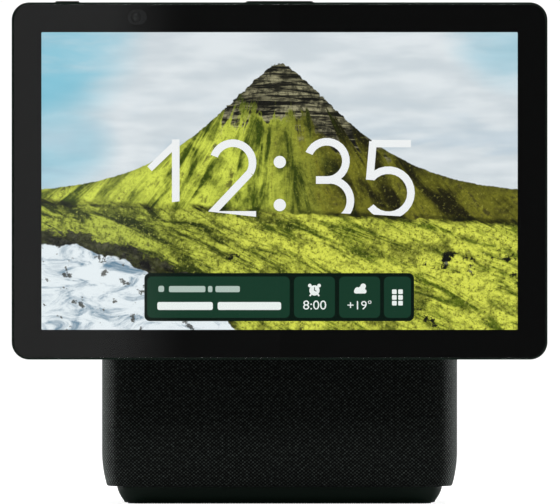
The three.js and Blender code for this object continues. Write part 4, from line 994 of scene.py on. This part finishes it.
class BuildBaseMouldings(bpy.types.Operator):
    """Makes the domed cap on the cloth and the foot under it"""

    bl_idname = "display.base_mouldings"
    bl_label = "Cap and foot"

    def execute(self, context):
        cloth = context.scene.display_fabric
        bm = bmesh.new()
        face = base_plate(bm, cloth, 0)
        moved(bm, bm.verts, 0, 0, CAP_LOW.z)
        straight = 0.4 * MM  # upright edge under the dome
        lid = extruded(bm, face, (0, 0, straight))
        quarter(bm, lid, CAP_HIGH.z - CAP_LOW.z - straight, 10)
        finish_piece("domed_cap", bm, "base", "green_plastic", GREEN, ["top_cap"], smooth=40)

        bm = bmesh.new()
        inset = FOOT_LOW.x - SLEEVE_LOW.x
        face = base_plate(bm, cloth, inset)
        brim = 0.2 * MM  # thin upright edge above the slope
        foot_top = 7.75 * MM
        moved(bm, bm.verts, 0, 0, foot_top)
        sole = extruded(bm, face, (0, 0, -brim))
        if sole.normal.z > 0:
            sole.normal_flip()
        slope = 3.1 * MM
        turn = 0.9 * MM  # rounding between slope and underside
        drop = foot_top - brim - FOOT_LOW.z - turn
        steps = 8
        for k in range(steps):
            low, high = k / steps, (k + 1) / steps
            inward = slope * (0.4 * (high - low) + 0.6 * (high**2 - low**2))
            push(bm, sole, inward, drop / steps)
        quarter(bm, sole, turn, 4)
        ring_outside = 12 * MM  # rubber ring's groove, measured from the sleeve's side
        ring_width = 7.2 * MM
        ring_depth = 1.2 * MM
        groove = push(bm, sole, ring_outside - inset - slope - turn - 0.1 * MM, 0)
        push(bm, groove, ring_width, 0)
        wide = ring_outside - 0.4 * MM
        inner, nearest = SLEEVE_HIGH.x - wide, SLEEVE_LOW.y + wide
        under = [f for f in bm.faces if f != groove and abs(middle_of(f).z - FOOT_LOW.z) < SLIGHT]
        band = [f for f in under if all(abs(v.co.x) <= inner and v.co.y >= nearest for v in f.verts)]
        made = bmesh.ops.extrude_face_region(bm, geom=band)
        bmesh.ops.delete(bm, geom=band, context="FACES")
        moved(bm, only(VERT, made), 0, 0, ring_depth)
        finish_piece("sloped_foot", bm, "base", "green_plastic", GREEN, ["foot_base"], smooth=40)
        return {"FINISHED"}


def head_plate(bm, inset, corner, y):
    """The head's outline as one standing face, inset all round, at a depth."""
    low = (FRAME_LOW.x + inset, FRAME_LOW.z + inset)
    high = (FRAME_HIGH.x - inset, FRAME_HIGH.z - inset)
    face = rounded_plate(bm, low, high, corner, corner, 14)
    stand_up(bm, bm.verts, y)
    return face


class BuildHead(bpy.types.Operator):
    """Makes the head's frame with its rim and slots, and the rounded rear cover"""

    bl_idname = "display.head"
    bl_label = "Head frame and cover"

    def execute(self, context):
        plastic = context.scene.display_plastic
        bm = bmesh.new()
        front = head_plate(bm, 0, plastic.corner, FRAME_LOW.y)
        if front.normal.y > 0:
            front.normal_flip()
        outer = list(front.edges)
        glass_gap = 0.05 * MM
        ledge_depth = 1.17 * MM
        ledge_width = 2.0 * MM
        push(bm, front, plastic.rim - glass_gap, 0)
        push(bm, front, 0.0, -ledge_depth)
        push(bm, front, ledge_width, 0)
        inner = list(front.edges)
        bmesh.ops.delete(bm, geom=[front], context="FACES_ONLY")
        back_loops = []
        for loop in (outer, inner):
            made = bmesh.ops.extrude_edge_only(bm, edges=[e for e in loop if e.is_valid])
            for vert in only(VERT, made):
                vert.co.y = FRAME_HIGH.y
            back_loops += only(EDGE, made)
        bmesh.ops.bridge_loops(bm, edges=back_loops)
        bmesh.ops.recalc_face_normals(bm, faces=bm.faces)
        foremost = [e for e in bm.edges if all(abs(v.co.y - FRAME_LOW.y) < SLIGHT for v in e.verts)]
        soften(bm, sharp_edges(foremost, 1.2), plastic.edge)
        wall = FRAME_HIGH.z - 2.75 * MM
        gap = 0.25 * MM
        travel = 8 * MM
        near = -59.72 * MM - gap  # front of the keys
        deep = -56.53 * MM + gap  # back of the keys
        for low, high, spare in ((KNOB_LOW, KNOB_HIGH, travel), (ROCKER_LOW, ROCKER_HIGH, 0)):
            x0, x1 = low.x - gap, high.x + gap + spare
            for z in (FRAME_HIGH.z, wall):
                corners = [Vector((x, y, z)) for x, y in ((x0, near), (x1, near), (x1, deep), (x0, deep))]
                level = [f for f in bm.faces if abs(f.normal.z) > 0.99]
                cut_opening(bm, corners, [f for f in level if abs(middle_of(f).z - z) < 0.01 * MM], drop=2)
            edges = [e for e in bm.edges if e.is_boundary]
            edges = [e for e in edges if all(x0 - gap < v.co.x < x1 + gap for v in e.verts)]
            bmesh.ops.bridge_loops(bm, edges=edges)
        finish_piece("head_rim", bm, "head", "green_plastic", GREEN, ["head_frame"], smooth=35)

        bm = bmesh.new()
        face = head_plate(bm, 0, plastic.corner, COVER_LOW.y)
        back = extruded(bm, face, (0, COVER_HIGH.y - COVER_LOW.y, 0))
        bmesh.ops.recalc_face_normals(bm, faces=bm.faces)
        soften(bm, list(back.edges), plastic.back_round, 10)
        open_face = min(bm.faces, key=lambda f: middle_of(f).y)
        bmesh.ops.delete(bm, geom=[open_face], context="FACES_ONLY")
        tall = 6.8 * MM  # half the opening for the hinge arm
        wide = 22.3 * MM
        signs = ((-1, -1), (1, -1), (1, 1), (-1, 1))
        corners = [Vector((sx * wide, COVER_HIGH.y, HINGE_Z + sz * tall)) for sx, sz in signs]
        cut_opening(bm, corners, [f for f in bm.faces if middle_of(f).y > COVER_HIGH.y - 0.01 * MM])
        bmesh.ops.solidify(bm, geom=list(bm.faces), thickness=plastic.wall)
        cover = finish_piece("rear_cover_shell", bm, "head", "green_plastic", GREEN, ["head_rear_cover"])
        if min(v.co.y for v in cover.data.vertices) < COVER_LOW.y - 1e-5:
            raise RuntimeError("the rear cover's wall went outwards")
        return {"FINISHED"}


class BuildGlass(bpy.types.Operator):
    """Makes the cover glass with its softened edge"""

    bl_idname = "display.glass"
    bl_label = "Cover glass"

    def execute(self, context):
        plastic = context.scene.display_plastic
        screen = context.scene.display_screen
        bm = bmesh.new()
        face = head_plate(bm, plastic.rim, plastic.corner - plastic.rim, GLASS_HIGH.y)
        front = extruded(bm, face, (0, GLASS_LOW.y - GLASS_HIGH.y, 0))
        bmesh.ops.recalc_face_normals(bm, faces=bm.faces)
        soften(bm, list(front.edges), screen.glass_edge)
        finish_piece("front_glass", bm, "head", "cover_glass", "Clear glass", ["cover_glass"], smooth=40)
        return {"FINISHED"}


class BuildFittings(bpy.types.Operator):
    """Rounds the edges of keys, socket, hinge and camera parts"""

    bl_idname = "display.fittings"
    bl_label = "Keys, hinge and socket"

    def execute(self, context):
        for fitting in FITTINGS:
            rounded_copy(*fitting)
        return {"FINISHED"}


class Stroke:
    """A flat stroke, drawn by pushing and swinging an edge in X and Z."""

    def __init__(self, bm, at, heading, width):
        self.bm = bm
        self.at = Vector(at)
        self.heading = heading
        across = unit(heading + math.pi / 2) * width / 2
        verts = [bm.verts.new((p.x, 0, p.y)) for p in (self.at + across, self.at - across)]
        self.edge = bm.edges.new(verts)

    def line(self, distance):
        """Draws straight on."""
        made = bmesh.ops.extrude_edge_only(self.bm, edges=[self.edge])
        step = unit(self.heading) * distance
        verts = only(VERT, made)
        moved(self.bm, verts, step.x, 0, step.y)
        self.at = self.at + step
        self.edge = [e for e in only(EDGE, made) if set(e.verts) == set(verts)][0]
        return self

    def bow(self, radius, degrees, steps=20):
        """Swings round a centre to the left, or to the right with a negative angle."""
        side = math.copysign(math.pi / 2, degrees)
        centre = self.at + unit(self.heading + side) * radius
        angle = math.radians(degrees)
        made = bmesh.ops.spin(
            self.bm,
            geom=[self.edge, *self.edge.verts],
            cent=(centre.x, 0, centre.y),
            axis=(0, -1, 0),
            angle=angle,
            steps=steps,
        )["geom_last"]
        self.edge = [g for g in made if isinstance(g, EDGE)][0]
        self.heading += angle
        self.at = centre + unit(self.heading - side) * radius
        return self


def trimmed(bm, at, normal):
    """Cuts everything in a bmesh off beyond a line in X and Z."""
    bmesh.ops.bisect_plane(
        bm,
        geom=[*bm.verts, *bm.edges, *bm.faces],
        plane_co=(at[0], 0, at[1]),
        plane_no=(normal[0], 0, normal[1]),
        clear_outer=True,
        dist=1e-7,
    )


def joined(target, part):
    """Adds one bmesh to another."""
    mesh = bpy.data.meshes.new("part")
    part.to_mesh(mesh)
    part.free()
    target.from_mesh(mesh)
    bpy.data.meshes.remove(mesh)


def disc(bm, x, z, radius, sides=24):
    """A flat round dot."""
    verts = bmesh.ops.create_circle(bm, cap_ends=True, radius=radius, segments=sides)["verts"]
    stand_up(bm, verts, 0)
    moved(bm, verts, x, 0, z)


def tile(bm, x0, x1, z0, z1, radius, segments=5):
    """A flat rounded rectangle."""
    part = bmesh.new()
    rounded_plate(part, (x0, z0), (x1, z1), radius, radius, segments)
    stand_up(part, part.verts, 0)
    joined(bm, part)


def lit_piece(name, bm, layer, finish):
    """Puts flat shapes in front of the panel, with a thin body. Layers count from the panel."""
    made = bmesh.ops.extrude_face_region(bm, geom=list(bm.faces))
    moved(bm, only(VERT, made), 0, -LAYER_BODY, 0)
    moved(bm, bm.verts, 0, PANEL_LOW.y - FIRST_LAYER - LAYER_STEP * layer, 0)
    finish_piece(name, bm, "head", "screen", finish)


class BuildClock(bpy.types.Operator):
    """Draws the time on the screen in four digits and two dots"""

    bl_idname = "display.clock"
    bl_label = "Clock digits"

    def execute(self, context):
        pen = context.scene.display_screen.stroke
        face = bmesh.new()

        one = bmesh.new()
        Stroke(one, (-47.3 * MM, 166.9 * MM), -math.pi / 2, pen).line(30 * MM)
        Stroke(one, (-47.0 * MM, 165.2 * MM), math.radians(223.8), pen * 0.86).line(16.9 * MM)
        trimmed(one, (-45.6 * MM, 166.9 * MM), (0, 1))
        trimmed(one, (-47.3 * MM, 138.5 * MM), (0.12, -1))
        joined(face, one)

        two = bmesh.new()
        bowl = 9.0 * MM
        centre = Vector((-21.3 * MM, 156.2 * MM))
        start = centre + unit(math.radians(160)) * bowl
        stroke = Stroke(two, start, math.radians(70), pen)
        stroke.bow(bowl, -190)
        foot = Vector((-31.6 * MM, 132.6 * MM))
        reach = foot - stroke.at
        Stroke(two, stroke.at, math.atan2(reach.y, reach.x), pen).line(reach.length)
        Stroke(two, (-32.6 * MM, 132.5 * MM), 0, pen).line(21.9 * MM)
        trimmed(two, (-32.6 * MM, 134.1 * MM), (-0.112, -1))
        joined(face, two)

        disc(face, 0.1 * MM, 156.6 * MM, 2.8 * MM)
        disc(face, 0.1 * MM, 137.0 * MM, 2.8 * MM)

        three = bmesh.new()
        upper = 8.75 * MM
        top = Vector((21.5 * MM, 157.1 * MM))
        start = top + unit(math.radians(157)) * upper
        Stroke(three, start, math.radians(67), pen).bow(upper, -247)
        lower = 9.5 * MM
        bottom = Vector((22.8 * MM, 139.0 * MM))
        Stroke(three, bottom + unit(math.radians(95)) * lower, math.radians(5), pen).bow(lower, -200)
        Stroke(three, (16.6 * MM, 148.4 * MM), 0, pen).line(6.2 * MM)
        trimmed(three, (22.0 * MM, 133.6 * MM), (-0.06, -1))
        joined(face, three)

        five = bmesh.new()
        Stroke(five, (42.0 * MM, 165.0 * MM), 0, pen * 0.98).line(17.9 * MM)
        Stroke(five, (42.6 * MM, 166.0 * MM), math.radians(-95), pen).line(17.6 * MM)
        belly = 10.3 * MM
        bottom = Vector((49.6 * MM, 142.6 * MM))
        Stroke(five, bottom + unit(math.radians(140)) * belly, math.radians(50), pen).bow(belly, -282)
        trimmed(five, (50.0 * MM, 132.2 * MM), (-0.06, -1))
        joined(face, five)

        bmesh.ops.recalc_face_normals(face, faces=face.faces)
        lit_piece("clock_digits", face, 3, "Clock digits")
        return {"FINISHED"}


class BuildCards(bpy.types.Operator):
    """Draws the row of cards on the screen with their bars, icons and numbers"""

    bl_idname = "display.cards"
    bl_label = "Screen cards"

    def execute(self, context):
        tray = bmesh.new()
        tile(tray, -61.6 * MM, 61.3 * MM, 84.1 * MM, 106.0 * MM, 2.5 * MM)
        lit_piece("card_tray", tray, 0, "Tray")

        cards = bmesh.new()
        for x0, x1 in ((-60.3, 4.6), (6.6, 25.2), (27.15, 45.8), (47.6, 59.85)):
            tile(cards, x0 * MM, x1 * MM, 85.6 * MM, 104.4 * MM, 2.2 * MM)
        lit_piece("screen_cards", cards, 1, "Card")

        note = bmesh.new()
        for x0, x1 in ((-50.4, -33.8), (-32.6, -30.6), (-29.2, -18.1)):
            tile(note, x0 * MM, x1 * MM, 97.3 * MM, 100.1 * MM, 0.7 * MM)
        tile(note, -55.2 * MM, -52.6 * MM, 97.4 * MM, 100.2 * MM, 0.8 * MM)
        lit_piece("note_bars", note, 2, "Card note")

        writing = bmesh.new()
        for x0, x1 in ((-55.7, -30.4), (-28.2, 0.7)):
            tile(writing, x0 * MM, x1 * MM, 89.2 * MM, 92.8 * MM, 0.9 * MM)
        disc(writing, 15.9 * MM, 98.1 * MM, 2.35 * MM)
        for side in (-1, 1):
            disc(writing, (15.9 + side * 2.1) * MM, 100.3 * MM, 0.85 * MM, 12)
            foot = ((15.9 + side * 1.5) * MM, 96.4 * MM)
            Stroke(writing, foot, math.radians(-90 + side * 35), 0.7 * MM).line(1.1 * MM)
        disc(writing, 38.1 * MM, 100.0 * MM, 1.25 * MM)
        disc(writing, 35.5 * MM, 98.2 * MM, 1.35 * MM)
        disc(writing, 37.4 * MM, 98.5 * MM, 1.6 * MM)
        tile(writing, 33.9 * MM, 39.6 * MM, 96.7 * MM, 98.6 * MM, 0.9 * MM)
        half = 1.05 * MM
        for x in (52.3 * MM, 55.1 * MM):
            for z in (97.5 * MM, 94.9 * MM, 92.3 * MM):
                tile(writing, x - half, x + half, z - half, z + half, 0.35 * MM, 3)
        bmesh.ops.recalc_face_normals(writing, faces=writing.faces)
        lit_piece("card_icons", writing, 2, "Card writing")

        hands = bmesh.new()
        Stroke(hands, (15.9 * MM, 98.1 * MM), math.radians(90), 0.4 * MM).line(1.4 * MM)
        Stroke(hands, (15.9 * MM, 98.1 * MM), math.radians(-20), 0.4 * MM).line(1.0 * MM)
        lit_piece("clock_hands", hands, 3, "Card")

        numbers = bmesh.new()
        number_line(numbers, "8:00", 16.0 * MM, 89.4 * MM, 10.5 * MM, 4.1 * MM)
        number_line(numbers, "+19°", 36.4 * MM, 89.4 * MM, 10.9 * MM, 4.1 * MM)
        lit_piece("card_numbers", numbers, 2, "Card writing")
        return {"FINISHED"}


def number_line(bm, words, x, z, wide, tall):
    """Sets a few numbers in the plain built-in lettering, in a box centred at x and standing on z."""
    curve = bpy.data.curves.new("numbers", "FONT")
    curve.body = words
    holder = bpy.data.objects.new("numbers", curve)
    bpy.context.scene.collection.objects.link(holder)
    mesh = bpy.data.meshes.new_from_object(holder.evaluated_get(bpy.context.evaluated_depsgraph_get()))
    part = bmesh.new()
    part.from_mesh(mesh)
    for items, item in ((bpy.data.objects, holder), (bpy.data.curves, curve), (bpy.data.meshes, mesh)):
        items.remove(item)
    xs = [v.co.x for v in part.verts]
    ys = [v.co.y for v in part.verts]
    moved(part, part.verts, -(max(xs) + min(xs)) / 2, -min(ys), 0)
    scale = (wide / (max(xs) - min(xs)), tall / (max(ys) - min(ys)), 1)
    bmesh.ops.scale(part, verts=part.verts, vec=scale)
    moved(part, part.verts, x, z, 0)
    empty = [f for f in part.faces if f.calc_area() < 1e-12]
    bmesh.ops.delete(part, geom=empty, context="FACES_ONLY")
    stand_up(part, part.verts, 0)
    joined(bm, part)


def lamp(name, at, towards, size, energy):
    """A rectangular soft light that the camera doesn't see."""
    data = bpy.data.lights.new(name, "AREA")
    data.shape = "RECTANGLE"
    data.size, data.size_y = size
    data.energy = energy
    light = bpy.data.objects.new(name, data)
    bpy.context.scene.collection.objects.link(light)
    light.location = at
    light.rotation_euler = (Vector(towards) - Vector(at)).to_track_quat("-Z", "Y").to_euler()
    light.visible_camera = False


def square(size):
    """A level square round the origin."""
    bm = bmesh.new()
    bmesh.ops.create_grid(bm, x_segments=1, y_segments=1, size=size)
    return bm


class BuildStage(bpy.types.Operator):
    """Sets up the floor, the lights, the pale surroundings and the camera"""

    bl_idname = "display.stage"
    bl_label = "Stage"

    def execute(self, context):
        stage = context.scene.display_stage
        scene = context.scene
        scene.view_settings.view_transform = "Standard"
        scene.view_settings.look = "None"
        dim = 0.05  # radiance that mirrors see where nothing else stands

        bm = square(0.9)
        moved(bm, bm.verts, 0, 0, -0.1 * MM)
        tree, surface = new_material("Floor")
        glow = times(tree.nodes.new("ShaderNodeLightPath").outputs["Is Camera Ray"], 0.86)
        tone = shade(noise(here(tree), 40.0), (0.36, 0.36, 0.36, 1), (0.38, 0.38, 0.38, 1))
        dress(surface, strength=glow, light=WHITE, colour=tone, rough=0.9, specular=0.1)
        new_object("floor", bm, "Floor")

        world = bpy.data.worlds.new("Studio")
        scene.world = world
        world.use_nodes = True
        tree = world.node_tree
        background = tree.nodes["Background"].inputs
        path = tree.nodes.new("ShaderNodeLightPath").outputs
        seen = plus(path["Is Camera Ray"], times(path["Is Diffuse Ray"], 0.1))
        feed(tree, background["Strength"], plus(seen, dim))
        background["Color"].default_value = WHITE

        middle = (0, 0, 0.11)
        lamp("key", (-0.35, -1.3, 2.0), middle, (1.2, 0.7), stage.key)
        lamp("overhead", (0, 0.1, 1.4), middle, (1.2, 0.8), 6.0)
        for side, name in ((-1, "strip_left"), (1, "strip_right")):
            lamp(name, (side * 0.62, 0.42, 0.12), (side * 0.05, 0.0, 0.07), (0.12, 0.6), stage.rim)

        bm = square(0.5)
        stand_up(bm, bm.verts, 0)
        moved(bm, bm.verts, -0.5, -stage.distance - 0.3, 0.2)
        tree, surface = new_material("Mirror card")
        fade = ramp(parts(here(tree))[0], -0.085, -0.17)
        dress(surface, strength=graded(fade, stage.card, dim), light=WHITE, colour=(0, 0, 0, 1))
        card = new_object("mirror_card", bm, "Mirror card")
        card.visible_camera = False
        card.visible_diffuse = False

        data = bpy.data.cameras.new("camera")
        data.sensor_fit = "HORIZONTAL"
        data.sensor_width = 36
        data.lens = data.sensor_width * stage.distance / stage.view_width
        data.clip_end = 50
        camera = bpy.data.objects.new("camera", data)
        scene.collection.objects.link(camera)
        camera.location = (0.2 * MM, GLASS_LOW.y - stage.distance, 115.6 * MM)
        camera.rotation_euler = (math.pi / 2, 0, 0)
        scene.camera = camera
        return {"FINISHED"}


class DisplayPanel(bpy.types.Panel):
    """Lists the settings and the pieces"""

    bl_idname = "VIEW3D_PT_smart_display"
    bl_label = "Smart display"
    bl_space_type = "VIEW_3D"
    bl_region_type = "UI"
    bl_category = "Smart display"

    def draw(self, context):
        for title, name in SETTINGS:
            box = self.layout.box()
            box.label(text=title)
            group = getattr(context.scene, name)
            for key in group.bl_rna.properties.keys():
                if key not in ("rna_type", "name"):
                    box.prop(group, key)
        for operator in OPERATORS:
            self.layout.operator(operator.bl_idname)


SETTINGS = [
    ("Fabric", "display_fabric"),
    ("Plastic", "display_plastic"),
    ("Screen", "display_screen"),
    ("Stage", "display_stage"),
]
GROUPS = [FabricSettings, PlasticSettings, ScreenSettings, StageSettings]
OPERATORS = [
    BuildStage,
    BuildMaterials,
    BuildFabric,
    BuildBaseMouldings,
    BuildHead,
    BuildGlass,
    BuildFittings,
    BuildClock,
    BuildCards,
]


def register():
    for item in (*GROUPS, *OPERATORS, DisplayPanel):
        bpy.utils.register_class(item)
    for (_, name), group in zip(SETTINGS, GROUPS):
        setattr(bpy.types.Scene, name, bpy.props.PointerProperty(type=group))


def unregister():
    for _, name in SETTINGS:
        delattr(bpy.types.Scene, name)
    for item in reversed((*GROUPS, *OPERATORS, DisplayPanel)):
        bpy.utils.unregister_class(item)


def main():
    """Builds everything."""
    register()
    for operator in OPERATORS:
        getattr(bpy.ops.display, operator.bl_idname.split(".")[1])()


if __name__ == "__main__":
    main()
